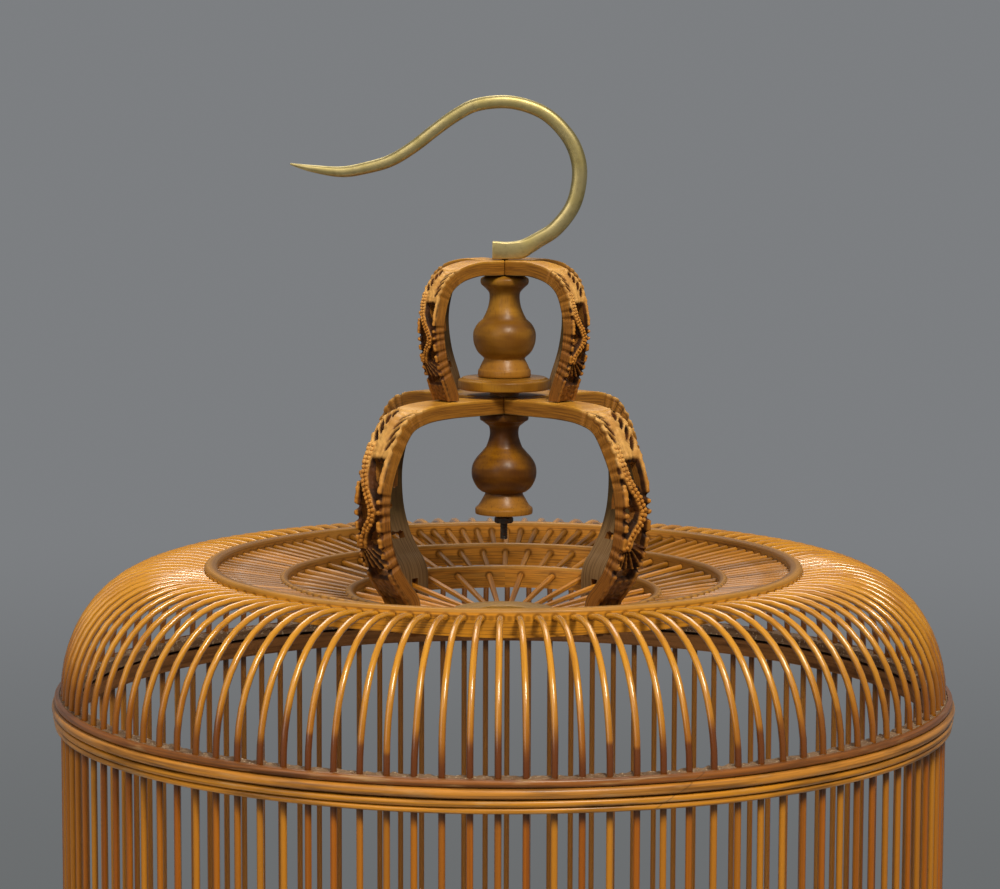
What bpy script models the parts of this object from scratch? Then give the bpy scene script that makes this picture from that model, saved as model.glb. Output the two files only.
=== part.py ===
"""Round bamboo bird cage: domed shoulder, stepped crown, two-tier carved yoke and brass hook.

Metres, +Z up. The origin is on the table, under the middle of the cage. The front is towards -Y.
"""
from math import cos, pi, sin, sqrt

import bmesh
import bpy
from mathutils import Matrix, Vector

# Overall sizes
SHOULDER_HEIGHT = 0.335          # top of the shoulder hoop above the table
BAR_CIRCLE_RADIUS = 0.1768       # middle of the wall bars
BAR_COUNT = 112                  # one bar every 9.9 mm
BAR_RADIUS = 0.0014
SEAT_GAP = 0.0003                # between two pieces that touch
HOOP_STEPS = 56                  # facets round a large hoop
SMALL_STEPS = 18                 # facets round a turned piece

# Dome of the bars, from the shoulder hoop in to the crown
DOME_LIFT = 0.0265               # how far the bars rise straight before they lean in
DOME_PULL_SHARE = 0.667          # where the bend's inner handle stands, from the crown out to the bars
DOME_PULL_RISE = 0.0535
DOME_STATION_SHARES = (0.08, 0.30, 0.50, 0.68, 0.85, 1.0)

# Shoulder hoop with a thin bead hoop under it
INNER_LATH_WIDTH = 0.0051        # from the bars' middle line inwards
SHOULDER_WIDTH = 0.0032          # from the bars' outer side outwards
SHOULDER_DEPTH = 0.0068
SHOULDER_EDGE = 0.0012           # rounding of the outer edges
BEAD_GAP = 0.0008                # dark slit between the two hoops
BEAD_DEPTH = 0.0049
BEAD_WIDTH = 0.0027
BEAD_EDGE = 0.0009
SLOT_CLEARANCE = 0.0004          # round a bar in a slot

# Crown: three hoops, each a step lower, and a bored boss in the middle
CROWN_HOOPS = {
    # inner radius, outer radius, top above the shoulder, depth
    "crown_hoop_outer": (0.1152, 0.1204, 0.0502, 0.0096),
    "crown_hoop_middle": (0.0870, 0.0905, 0.0449, 0.0094),
    "crown_hoop_inner": (0.0605, 0.0642, 0.0391, 0.0092),
}
BOSS_RADIUS = 0.0213
BOSS_BORE_RADIUS = 0.0096
BOSS_TOP = 0.0305
BOSS_DEPTH = 0.0042
SPOKE_RADIUS = 0.0012
SPOKE_DROP = 0.0038              # spoke's outer end under the top of the hoop it leaves
SPOKE_LANDING = 0.0016           # spoke's inner end under the top of the hoop it reaches
SPOKE_SINK = 0.0015              # how deep a spoke is let into the hoop it reaches
BAR_ENTRY_DROP = 0.0026          # dome bar's end under the top of the outer crown hoop

# Lower yoke: four bent strips that stand in the inner crown hoop
LOWER_REACH = 0.0750
LOWER_TOP = 0.1173               # above the shoulder
LOWER_FOOT = 0.0270
LOWER_WIDTH = 0.0150
LOWER_THICKNESS = 0.0062
LOWER_PROFILE_SHARES = (
    (0.50, 1.0), (0.68, 0.985), (0.81, 0.94), (0.905, 0.83), (0.97, 0.71), (1.0, 0.58), (0.985, 0.42),
    (0.925, 0.285), (0.845, 0.19), (0.79, 0.134), (0.785, 0.06), (0.78, 0.0))
NOTCH_CLEARANCE = 0.0004         # round the spoke that each lower foot straddles

# Upper yoke: the same form, standing on the lower one
UPPER_REACH = 0.0435
UPPER_TOP = 0.1720
UPPER_WIDTH = 0.0100
UPPER_THICKNESS = 0.0058
UPPER_PROFILE_SHARES = (
    (0.45, 1.0), (0.71, 0.95), (0.885, 0.845), (0.98, 0.665), (1.0, 0.48), (0.95, 0.27), (0.85, 0.08),
    (0.81, 0.0))
YOKE_TURN = pi / 4               # the strips stand half-way between front and sides
STRIP_COUNT = 4
STRIP_NAMES = ("front_right", "back_right", "back_left", "front_left")

# Rod through both yokes, with the washer and nut under it
ROD_RADIUS = 0.0016
ROD_CLEARANCE = 0.0004
ROD_END = 0.0593                 # above the shoulder
ROD_IN_FOOT = 0.0040
WASHER_RADIUS = 0.0038
WASHER_THICKNESS = 0.0009
NUT_RADIUS = 0.0038
NUT_HEIGHT = 0.0024
NUT_SIDES = 6

# Turned gourds: outline as shares of the belly radius and of the height, top to bottom
UPPER_GOURD_RADIUS = 0.0126
UPPER_GOURD_SHARES = ((0.59, 1.0), (0.76, 0.95), (0.76, 0.92), (0.48, 0.83), (0.53, 0.70), (0.68, 0.57),
                      (0.95, 0.48), (1.0, 0.38), (0.90, 0.27), (0.65, 0.19), (0.70, 0.14), (0.83, 0.08),
                      (0.83, 0.0))
LOWER_GOURD_RADIUS = 0.0131
LOWER_GOURD_HEIGHT = 0.0410
LOWER_GOURD_SHARES = ((0.73, 1.0), (0.745, 0.93), (0.44, 0.81), (0.48, 0.73), (0.59, 0.645), (0.85, 0.55),
                      (1.0, 0.42), (0.92, 0.305), (0.60, 0.205), (0.65, 0.15), (0.87, 0.06), (0.87, 0.0))
DISC_RADIUS = 0.0186
DISC_TOP = 0.1250
DISC_DEPTH = 0.0050
DISC_EDGE = 0.0010
DISC_HUB_RADIUS = 0.0060

# Brass hook: its middle line as shares of its reach and rise above the foot block
HOOK_REACH = 0.0859
HOOK_RISE = 0.0584
HOOK_RADIUS = 0.0031
HOOK_SIDES_RESOLUTION = 2
HOOK_FOOT_HEIGHT = 0.0072
HOOK_FOOT_BACK = 0.0050
HOOK_FOOT_FRONT = 0.0082
HOOK_FOOT_WIDTH = 0.0070
HOOK_LINE_SHARES = (
    (-1.0, 0.574, 0.10), (-0.90, 0.542, 0.45), (-0.76, 0.520, 0.70), (-0.645, 0.548, 0.77),
    (-0.532, 0.597, 0.79), (-0.427, 0.690, 0.80), (-0.324, 0.808, 0.82), (-0.229, 0.907, 0.84),
    (-0.134, 0.978, 0.84), (0.0, 1.0, 0.85), (0.120, 0.964, 0.87), (0.214, 0.888, 0.90),
    (0.300, 0.747, 0.96), (0.342, 0.591, 1.0), (0.342, 0.435, 1.0), (0.310, 0.280, 1.0),
    (0.234, 0.138, 1.0), (0.149, 0.048, 1.0), (0.082, 0.010, 1.0))

# Wall hoop inside the bars
WALL_HOOP_BOTTOM = 0.1400
WALL_HOOP_DEPTH = 0.0050
WALL_HOOP_WIDTH = 0.0045

# Base
BASE_HOOP_BOTTOM = 0.0220
BASE_HOOP_DEPTH = 0.0140
BASE_INSET = 0.0048              # how far the base hoop reaches inside the bars' circle
BASE_WIDTH = 0.0096
BASE_EDGE = 0.0015
FOOT_WIDTH = 0.0180
FOOT_THICKNESS = 0.0090
FOOT_TAPER_SHARE = 0.7
FOOT_TURNS = {"foot_back_right": pi / 6, "foot_back_left": pi * 5 / 6,
              "foot_front_left": pi * 7 / 6, "foot_front_right": pi * 11 / 6}
BEARER_WIDTH = 0.0080
BEARER_DEPTH = 0.0060
BEARER_INSET = 0.0840            # bearer's middle inside the hoop's bore
SLAT_WIDTH = 0.0060
SLAT_DEPTH = 0.0030
SLAT_EDGE = 0.0215               # outermost slat's middle inside the hoop's bore
SLATS_EACH_SIDE = 7

# Tray under the floor, on two runners
TRAY_SIDE_INSET = 0.0605         # each edge of the tray inside the hoop's bore
TRAY_FRONT_INSET = 0.0390
TRAY_BACK_INSET = 0.0540
TRAY_FLOOR = 0.0030
TRAY_DEPTH = 0.0100
TRAY_RIM = 0.0030
TRAY_BOTTOM = 0.0095
RUNNER_WEB = 0.0030
RUNNER_LIP = 0.0070
RUNNER_LIP_DEPTH = 0.0030
RUNNER_INSET = 0.0410            # each end of a runner inside the hoop's bore
RUNNER_CLEARANCE = 0.0010
KNOB_RADIUS = 0.0050
KNOB_LENGTH = 0.0110
KNOB_SHARES = ((0.0, 1.0), (0.8, 0.93), (1.0, 0.72), (0.85, 0.50), (0.5, 0.35), (0.5, 0.0))

# Lift-up door in the front wall: its bars run between the wall bars
DOOR_HALF_COUNT = 3              # wall bars cut short on each side of the middle
DOOR_RAIL_DEPTH = 0.0070
DOOR_RAIL_WIDTH = 0.0030
DOOR_BAR_PROUD = 0.0010          # door bars stand this far outside the wall bars' circle
DOOR_LATH_SINK = 0.0006          # how deep a lath takes a door bar
DOOR_LATH_PITCHES = 4.4          # half length of a lath, in bar pitches
DOOR_LATH_INSIDE = 0.0026        # bottom lath, from the wall bars' circle inwards and outwards
DOOR_LATH_OUTSIDE = 0.0032
DOOR_TOP_LATH_DROP = 0.0070      # top lath's upper edge under the tips of the door bars
DOOR_BAR_LIFT = 0.0020           # lower end of a door bar above the bottom lath's lower side
DOOR_BAR_TOP = 0.1480

# Perch with slotted ends
PERCH_BAR = 32                   # the wall bar that each end holds
PERCH_RADIUS = 0.0055
PERCH_HEIGHT = 0.1650
PERCH_OVERHANG = 0.0035
PERCH_SIDES = 12

CUTTER_OVERRUN = 0.0020          # how far every cutter runs past the piece it cuts
WELD_DISTANCE = 0.00001

BAMBOO_LIGHT = (0.72, 0.42, 0.14)
BAMBOO_GOLD = (0.62, 0.31, 0.08)
BAMBOO_BROWN = (0.36, 0.17, 0.06)
CARVED = (0.45, 0.22, 0.08)
TURNED_WOOD = (0.34, 0.15, 0.04)
BRASS = (0.62, 0.52, 0.26)
STEEL = (0.12, 0.11, 0.10)

PITCH = 2 * pi / BAR_COUNT
SHOULDER_BORE = BAR_CIRCLE_RADIUS + BAR_RADIUS + SEAT_GAP
BASE_BORE = BAR_CIRCLE_RADIUS - BASE_INSET


def empty_scene():
    for item in list(bpy.data.objects):
        bpy.data.objects.remove(item, do_unlink=True)
    for group in list(bpy.data.collections):
        bpy.data.collections.remove(group)
    parts = bpy.data.collections.new("bamboo_bird_cage")
    cutters = bpy.data.collections.new("cutters")
    for group in (parts, cutters):
        bpy.context.scene.collection.children.link(group)
    return parts, cutters


PARTS, CUTTERS = empty_scene()


def finish_material(name, colour, roughness=0.45, metallic=0.0):
    material = bpy.data.materials.get(name) or bpy.data.materials.new(name)
    material.use_nodes = True
    shader = material.node_tree.nodes["Principled BSDF"]
    shader.inputs["Base Color"].default_value = (*colour, 1.0)
    shader.inputs["Roughness"].default_value = roughness
    shader.inputs["Metallic"].default_value = metallic
    return material


def place(name, data, colour, roughness=0.45, metallic=0.0, parent=None):
    """Link one named sub-part to the cage's collection."""
    item = bpy.data.objects.new(name, data)
    data.materials.clear()
    data.materials.append(finish_material(name + "_finish", colour, roughness, metallic))
    item.parent = parent
    PARTS.objects.link(item)
    return item


def joint_empty(name, location=(0.0, 0.0, 0.0)):
    """An empty on a joint's axis, which carries the pieces that move together."""
    item = bpy.data.objects.new(name, None)
    item.location = location
    PARTS.objects.link(item)
    return item


def mesh_from(bm, name):
    bmesh.ops.recalc_face_normals(bm, faces=bm.faces)
    mesh = bpy.data.meshes.new(name)
    bm.to_mesh(mesh)
    bm.free()
    return mesh


def polar(radius, turn, height):
    """A point at an angle counted from the front, towards the right-hand side."""
    return Vector((radius * sin(turn), -radius * cos(turn), height))


def bore_vertex_radius(radius, steps):
    """Corner radius of a faceted bore whose flats lie at the given radius."""
    return radius / cos(pi / steps)


def turned(name, outline, steps, colour, roughness=0.45, metallic=0.0, parent=None, lift=0.0):
    """Turn a closed outline of (radius, height) points, outer side first from the top down."""
    bm = bmesh.new()
    points = [bm.verts.new((radius, 0.0, height + lift)) for radius, height in outline]
    for first, second in zip(points, points[1:] + points[:1]):
        bm.edges.new((first, second))
    mesh = bpy.data.meshes.new(name)
    bm.to_mesh(mesh)
    bm.free()
    item = place(name, mesh, colour, roughness, metallic, parent)
    screw = item.modifiers.new("turn", "SCREW")
    screw.axis = "Z"
    screw.steps = steps
    screw.render_steps = steps
    screw.use_merge_vertices = True
    screw.merge_threshold = WELD_DISTANCE
    return item


def hoop_outline(inner, outer, top, depth, edge=0.0, steps=HOOP_STEPS):
    """Closed outline of a hoop: outer side from the top down, then up the bore."""
    bore = bore_vertex_radius(inner, steps)
    bottom = top - depth
    if edge == 0.0:
        return [(outer, top), (outer, bottom), (bore, bottom), (bore, top)]
    return [(outer - edge, top), (outer, top - edge), (outer, bottom + edge), (outer - edge, bottom),
            (bore, bottom), (bore, top)]


def swept_mesh(curve, name):
    """The mesh of a bevelled curve, with its caps welded on."""
    sweep = bpy.data.objects.new(name, curve)
    CUTTERS.objects.link(sweep)
    bpy.context.view_layer.update()
    mesh = bpy.data.meshes.new_from_object(sweep.evaluated_get(bpy.context.evaluated_depsgraph_get()))
    bpy.data.objects.remove(sweep, do_unlink=True)
    bm = bmesh.new()
    bm.from_mesh(mesh)
    bmesh.ops.remove_doubles(bm, verts=bm.verts, dist=WELD_DISTANCE)
    bm.to_mesh(mesh)
    bm.free()
    return mesh


def swept(paths, radius, name):
    """Straight or bent splints along paths of points, as one mesh with welded caps."""
    curve = bpy.data.curves.new(name, "CURVE")
    curve.dimensions = "3D"
    curve.bevel_depth = radius
    curve.bevel_resolution = 0
    curve.use_fill_caps = True
    for turn, path in paths:
        spline = curve.splines.new("POLY")
        spline.points.add(len(path) - 1)
        for point, place_at in zip(spline.points, path):
            point.co = (*place_at, 1.0)
            point.tilt = turn + pi / 4
    return swept_mesh(curve, name)


def helper(name, mesh):
    """A hidden object that cuts or joins another."""
    item = bpy.data.objects.new(name, mesh)
    item.hide_render = True
    item.display_type = "WIRE"
    CUTTERS.objects.link(item)
    return item


def box(bm, low, high, turn=0.0):
    """Add a box between two corners, then turn it about the cage's axis."""
    size = [b - a for a, b in zip(low, high)]
    middle = Vector([(a + b) / 2 for a, b in zip(low, high)])
    matrix = Matrix.Rotation(turn, 4, "Z") @ Matrix.Translation(middle) @ Matrix.Diagonal((*size, 1.0))
    return bmesh.ops.create_cube(bm, size=1.0, matrix=matrix)["verts"]


def combine(item, tool, operation):
    boolean = item.modifiers.new(operation.lower() + "_" + tool.name, "BOOLEAN")
    boolean.operation = operation
    boolean.solver = "EXACT"
    boolean.object = tool


def cut(item, name, bm):
    combine(item, helper(name, mesh_from(bm, name)), "DIFFERENCE")


def join(item, name, mesh):
    combine(item, helper(name, mesh), "UNION")


def loft(bm, sections):
    """Skin a row of four-cornered sections and close both ends."""
    rings = [[bm.verts.new(corner) for corner in section] for section in sections]
    for ring, following in zip(rings, rings[1:]):
        for index in range(len(ring)):
            after = (index + 1) % len(ring)
            bm.faces.new((ring[index], ring[after], following[after], following[index]))
    bm.faces.new(rings[0][::-1])
    bm.faces.new(rings[-1])


def curved_lath(name, inner, outer, bottom, top, first, last):
    """A lath bent to the wall between two bar positions, with its corners half-way between bars."""
    steps = max(2, round((last - first) / 2))
    sections = []
    for index in range(steps + 1):
        turn = (first + (last - first) * index / steps) * PITCH
        sections.append([polar(inner, turn, bottom), polar(outer, turn, bottom),
                         polar(outer, turn, top), polar(inner, turn, top)])
    bm = bmesh.new()
    loft(bm, sections)
    return mesh_from(bm, name)


def dome_path(turn, bottom):
    """One bar's middle line: up the wall, over the shoulder and in to the outer crown hoop."""
    hoop_outer, hoop_top = CROWN_HOOPS["crown_hoop_outer"][1:3]
    end_radius = hoop_outer + SEAT_GAP
    end_height = hoop_top - BAR_ENTRY_DROP
    pull_radius = hoop_outer + DOME_PULL_SHARE * (BAR_CIRCLE_RADIUS - hoop_outer)
    radii = (BAR_CIRCLE_RADIUS, BAR_CIRCLE_RADIUS, pull_radius, end_radius)
    rises = (0.0, DOME_LIFT, DOME_PULL_RISE, end_height)
    path = [polar(BAR_CIRCLE_RADIUS, turn, bottom)]
    for share in DOME_STATION_SHARES:
        weights = ((1 - share) ** 3, 3 * share * (1 - share) ** 2, 3 * share ** 2 * (1 - share), share ** 3)
        radius = sum(weight * value for weight, value in zip(weights, radii))
        rise = sum(weight * value for weight, value in zip(weights, rises))
        path.append(polar(radius, turn, SHOULDER_HEIGHT + rise))
    return path


def cage_bars():
    """The bars in eight groups, each let into its length of the shoulder's inner lath.

    The bars over the door stop at the wall hoop.
    """
    names = ("front", "front_right", "right", "back_right", "back", "back_left", "left", "front_left")
    per_group = BAR_COUNT // len(names)
    base_seat = BASE_HOOP_BOTTOM + BASE_HOOP_DEPTH + SEAT_GAP
    lath_bottom = SHOULDER_HEIGHT - SHOULDER_DEPTH - BEAD_GAP - BEAD_DEPTH
    gap_share = SEAT_GAP / (BAR_CIRCLE_RADIUS * PITCH) / 2
    for group, name in enumerate(names):
        first = group * per_group - per_group // 2
        last = first + per_group - 1
        paths = []
        for index in range(first, last + 1):
            over_door = abs(index) <= DOOR_HALF_COUNT
            bottom = WALL_HOOP_BOTTOM if over_door else base_seat
            paths.append((index * PITCH, dome_path(index * PITCH, bottom)))
        lath = curved_lath("inner_lath_" + name, BAR_CIRCLE_RADIUS - INNER_LATH_WIDTH, BAR_CIRCLE_RADIUS,
                           lath_bottom, SHOULDER_HEIGHT, first - 0.5 + gap_share, last + 0.5 - gap_share)
        item = place("cage_bars_" + name, lath, BAMBOO_GOLD, 0.35)
        join(item, "bars_" + name, swept(paths, BAR_RADIUS, "bars_" + name))


def shoulder_hoops():
    """The rounded hoop outside the bars and the double bead under it."""
    turned("shoulder_hoop",
           hoop_outline(SHOULDER_BORE, SHOULDER_BORE + SHOULDER_WIDTH, SHOULDER_HEIGHT, SHOULDER_DEPTH,
                        SHOULDER_EDGE), HOOP_STEPS, BAMBOO_BROWN)
    top = SHOULDER_HEIGHT - SHOULDER_DEPTH - BEAD_GAP
    bottom = top - BEAD_DEPTH
    middle = (top + bottom) / 2
    crest = SHOULDER_BORE + BEAD_WIDTH
    waist = crest - BEAD_EDGE
    bore = bore_vertex_radius(SHOULDER_BORE, HOOP_STEPS)
    outline = [(waist, top), (crest, (top + middle) / 2), (waist, middle), (crest, (bottom + middle) / 2),
               (waist, bottom), (bore, bottom), (bore, top)]
    turned("shoulder_bead", outline, HOOP_STEPS, BAMBOO_GOLD)


def wall_hoop():
    """A thin hoop that stiffens the wall from inside."""
    outer = BAR_CIRCLE_RADIUS - BAR_RADIUS - SEAT_GAP
    outline = hoop_outline(outer - WALL_HOOP_WIDTH, outer, WALL_HOOP_BOTTOM + WALL_HOOP_DEPTH, WALL_HOOP_DEPTH)
    turned("wall_hoop", outline, HOOP_STEPS, BAMBOO_GOLD)


def spokes(name, outer_face, outer_height, inner_face, inner_height, every, first):
    """A set of straight spokes, each let into the hoop or boss at its inner end."""
    paths = []
    for index in range(first, BAR_COUNT, every):
        turn = index * PITCH
        paths.append((turn, [polar(outer_face - SEAT_GAP, turn, SHOULDER_HEIGHT + outer_height),
                             polar(inner_face - SPOKE_SINK, turn, SHOULDER_HEIGHT + inner_height)]))
    return swept(paths, SPOKE_RADIUS, name)


def crown():
    """Three stepped hoops and the boss. Each set of spokes belongs to the hoop it runs in to."""
    hoops = {}
    for name, (inner, outer, top, depth) in CROWN_HOOPS.items():
        hoops[name] = turned(name, hoop_outline(inner, outer, top, depth), HOOP_STEPS, BAMBOO_LIGHT,
                             lift=SHOULDER_HEIGHT)
    boss_outline = hoop_outline(BOSS_BORE_RADIUS, BOSS_RADIUS, BOSS_TOP, BOSS_DEPTH, steps=SMALL_STEPS)
    boss = turned("crown_boss", boss_outline, SMALL_STEPS, BAMBOO_LIGHT, lift=SHOULDER_HEIGHT)
    outer_hoop, middle_hoop, inner_hoop = CROWN_HOOPS.values()
    join(hoops["crown_hoop_middle"], "outer_spokes",
         spokes("outer_spokes", outer_hoop[0], outer_hoop[2] - SPOKE_DROP,
                middle_hoop[1], middle_hoop[2] - SPOKE_LANDING, 1, 0))
    join(hoops["crown_hoop_inner"], "middle_spokes",
         spokes("middle_spokes", middle_hoop[0], middle_hoop[2] - SPOKE_DROP,
                inner_hoop[1], inner_hoop[2] - SPOKE_LANDING, 2, 0))
    join(boss, "inner_spokes",
         spokes("inner_spokes", inner_hoop[0], inner_hoop[2] - SPOKE_DROP,
                BOSS_RADIUS, BOSS_TOP - BOSS_DEPTH / 2, 4, 2))


def strip_lines(shares, reach, top, foot, thickness):
    """Outer and inner lines of a bent strip in its own plane, from the rod to the foot."""
    start = ROD_RADIUS + ROD_CLEARANCE + SEAT_GAP
    outer = [Vector((start, top)), Vector((shares[0][0] * reach / 2, top))]
    outer += [Vector((share * reach, foot + rise * (top - foot))) for share, rise in shares]
    inner = []
    for index, point in enumerate(outer):
        before = outer[max(index - 1, 0)]
        after = outer[min(index + 1, len(outer) - 1)]
        along = (after - before).normalized()
        inner.append(point + thickness * Vector((along.y, -along.x)))
    inner[0].x = start
    inner[-1].y = foot
    return outer, inner


def yoke_strip(name, turn, outer, inner, width):
    """One bent strip. Its inner end is mitred so that four of them meet round the rod."""
    bm = bmesh.new()
    sections = []
    for out, into in zip(outer, inner):
        half_out = min(width / 2, out.x - SEAT_GAP)
        half_in = min(width / 2, into.x - SEAT_GAP)
        sections.append([Vector((-half_out, -out.x, out.y)), Vector((half_out, -out.x, out.y)),
                         Vector((half_in, -into.x, into.y)), Vector((-half_in, -into.x, into.y))])
    loft(bm, sections)
    to_place = Matrix.Translation((0.0, 0.0, SHOULDER_HEIGHT)) @ Matrix.Rotation(turn, 4, "Z")
    bmesh.ops.transform(bm, verts=bm.verts, matrix=to_place)
    return place(name, mesh_from(bm, name), CARVED, 0.5)


def yokes():
    """Lower and upper yoke, four strips each."""
    lower = strip_lines(LOWER_PROFILE_SHARES, LOWER_REACH, LOWER_TOP, LOWER_FOOT, LOWER_THICKNESS)
    upper = strip_lines(UPPER_PROFILE_SHARES, UPPER_REACH, UPPER_TOP, LOWER_TOP + SEAT_GAP, UPPER_THICKNESS)
    inner_hoop = CROWN_HOOPS["crown_hoop_inner"]
    notch_half = SPOKE_RADIUS + NOTCH_CLEARANCE
    notch_top = SHOULDER_HEIGHT + inner_hoop[2] - SPOKE_DROP + notch_half
    for index, side in enumerate(STRIP_NAMES):
        turn = YOKE_TURN + index * 2 * pi / STRIP_COUNT
        strip = yoke_strip("lower_yoke_" + side, turn, *lower, LOWER_WIDTH)
        bm = bmesh.new()
        box(bm, (-notch_half, -inner_hoop[1], SHOULDER_HEIGHT + LOWER_FOOT - CUTTER_OVERRUN),
            (notch_half, -BOSS_RADIUS, notch_top), turn)
        cut(strip, "foot_notch_" + side, bm)
        yoke_strip("upper_yoke_" + side, turn, *upper, UPPER_WIDTH)


def gourd(name, shares, belly, bottom, height, colour):
    bore = bore_vertex_radius(ROD_RADIUS + ROD_CLEARANCE, SMALL_STEPS)
    outline = [(share * belly, bottom + rise * height) for share, rise in shares]
    outline += [(bore, bottom), (bore, bottom + height)]
    return turned(name, outline, SMALL_STEPS, colour, 0.3, lift=SHOULDER_HEIGHT)


def turned_pieces():
    """The two gourds and the disc that the rod clamps between the yokes."""
    upper_seat = UPPER_TOP - UPPER_THICKNESS - SEAT_GAP
    gourd_bottom = DISC_TOP + SEAT_GAP
    gourd("upper_gourd", UPPER_GOURD_SHARES, UPPER_GOURD_RADIUS, gourd_bottom, upper_seat - gourd_bottom,
          TURNED_WOOD)
    lower_seat = LOWER_TOP - LOWER_THICKNESS - SEAT_GAP
    gourd("lower_gourd", LOWER_GOURD_SHARES, LOWER_GOURD_RADIUS, lower_seat - LOWER_GOURD_HEIGHT,
          LOWER_GOURD_HEIGHT, TURNED_WOOD)
    bore = bore_vertex_radius(ROD_RADIUS + ROD_CLEARANCE, SMALL_STEPS)
    hub_bottom = LOWER_TOP + SEAT_GAP
    bottom = DISC_TOP - DISC_DEPTH
    turned("upper_disc", [(DISC_RADIUS - DISC_EDGE, DISC_TOP), (DISC_RADIUS, DISC_TOP - DISC_EDGE),
                          (DISC_RADIUS, bottom + DISC_EDGE), (DISC_RADIUS - DISC_EDGE, bottom),
                          (DISC_HUB_RADIUS, bottom), (DISC_HUB_RADIUS, hub_bottom), (bore, hub_bottom),
                          (bore, DISC_TOP)], SMALL_STEPS, TURNED_WOOD, 0.35, lift=SHOULDER_HEIGHT)


def rod_bore_outline(radius, bottom, height, steps):
    bore = bore_vertex_radius(ROD_RADIUS + ROD_CLEARANCE, steps)
    return [(radius, bottom + height), (radius, bottom), (bore, bottom), (bore, bottom + height)]


def hook_and_rod():
    """The brass hook, its rod, and the washer and nut, which turn together in the yokes."""
    axis = joint_empty("hook_swivel_axis")
    foot_bottom = SHOULDER_HEIGHT + UPPER_TOP + SEAT_GAP
    foot_top = foot_bottom + HOOK_FOOT_HEIGHT
    line_base = foot_top - HOOK_RADIUS
    curve = bpy.data.curves.new("brass_hook_line", "CURVE")
    curve.dimensions = "3D"
    curve.bevel_depth = HOOK_RADIUS
    curve.bevel_resolution = HOOK_SIDES_RESOLUTION
    curve.use_fill_caps = True
    spline = curve.splines.new("POLY")
    spline.points.add(len(HOOK_LINE_SHARES) - 1)
    for point, (along, rise, thickness) in zip(spline.points, HOOK_LINE_SHARES):
        point.co = (along * HOOK_REACH, 0.0, line_base + rise * HOOK_RISE, 1.0)
        point.radius = thickness
    hook = place("brass_hook", swept_mesh(curve, "brass_hook"), BRASS, 0.35, 0.9, axis)
    bm = bmesh.new()
    box(bm, (-HOOK_FOOT_BACK, -HOOK_FOOT_WIDTH / 2, foot_bottom),
        (HOOK_FOOT_FRONT, HOOK_FOOT_WIDTH / 2, foot_top))
    join(hook, "hook_foot_block", mesh_from(bm, "hook_foot_block"))
    bm = bmesh.new()
    rod_top = foot_bottom + ROD_IN_FOOT
    hole = bore_vertex_radius(ROD_RADIUS + SEAT_GAP, SMALL_STEPS)
    bmesh.ops.create_cone(bm, cap_ends=True, segments=SMALL_STEPS, radius1=hole, radius2=hole,
                          depth=2 * (ROD_IN_FOOT + SEAT_GAP),
                          matrix=Matrix.Translation((0.0, 0.0, foot_bottom)))
    cut(hook, "rod_socket", bm)
    bm = bmesh.new()
    rod_bottom = SHOULDER_HEIGHT + ROD_END
    bmesh.ops.create_cone(bm, cap_ends=True, segments=SMALL_STEPS, radius1=ROD_RADIUS, radius2=ROD_RADIUS,
                          depth=rod_top - rod_bottom,
                          matrix=Matrix.Translation((0.0, 0.0, (rod_top + rod_bottom) / 2)))
    place("threaded_rod", mesh_from(bm, "threaded_rod"), STEEL, 0.5, 0.8, axis)
    gourd_bottom = LOWER_TOP - LOWER_THICKNESS - SEAT_GAP - LOWER_GOURD_HEIGHT
    washer_bottom = gourd_bottom - SEAT_GAP - WASHER_THICKNESS
    turned("washer", rod_bore_outline(WASHER_RADIUS, washer_bottom, WASHER_THICKNESS, SMALL_STEPS),
           SMALL_STEPS, STEEL, 0.5, 0.8, axis, SHOULDER_HEIGHT)
    nut_bottom = washer_bottom - SEAT_GAP - NUT_HEIGHT
    turned("nut", rod_bore_outline(NUT_RADIUS, nut_bottom, NUT_HEIGHT, NUT_SIDES), NUT_SIDES,
           STEEL, 0.5, 0.8, axis, SHOULDER_HEIGHT)


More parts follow.
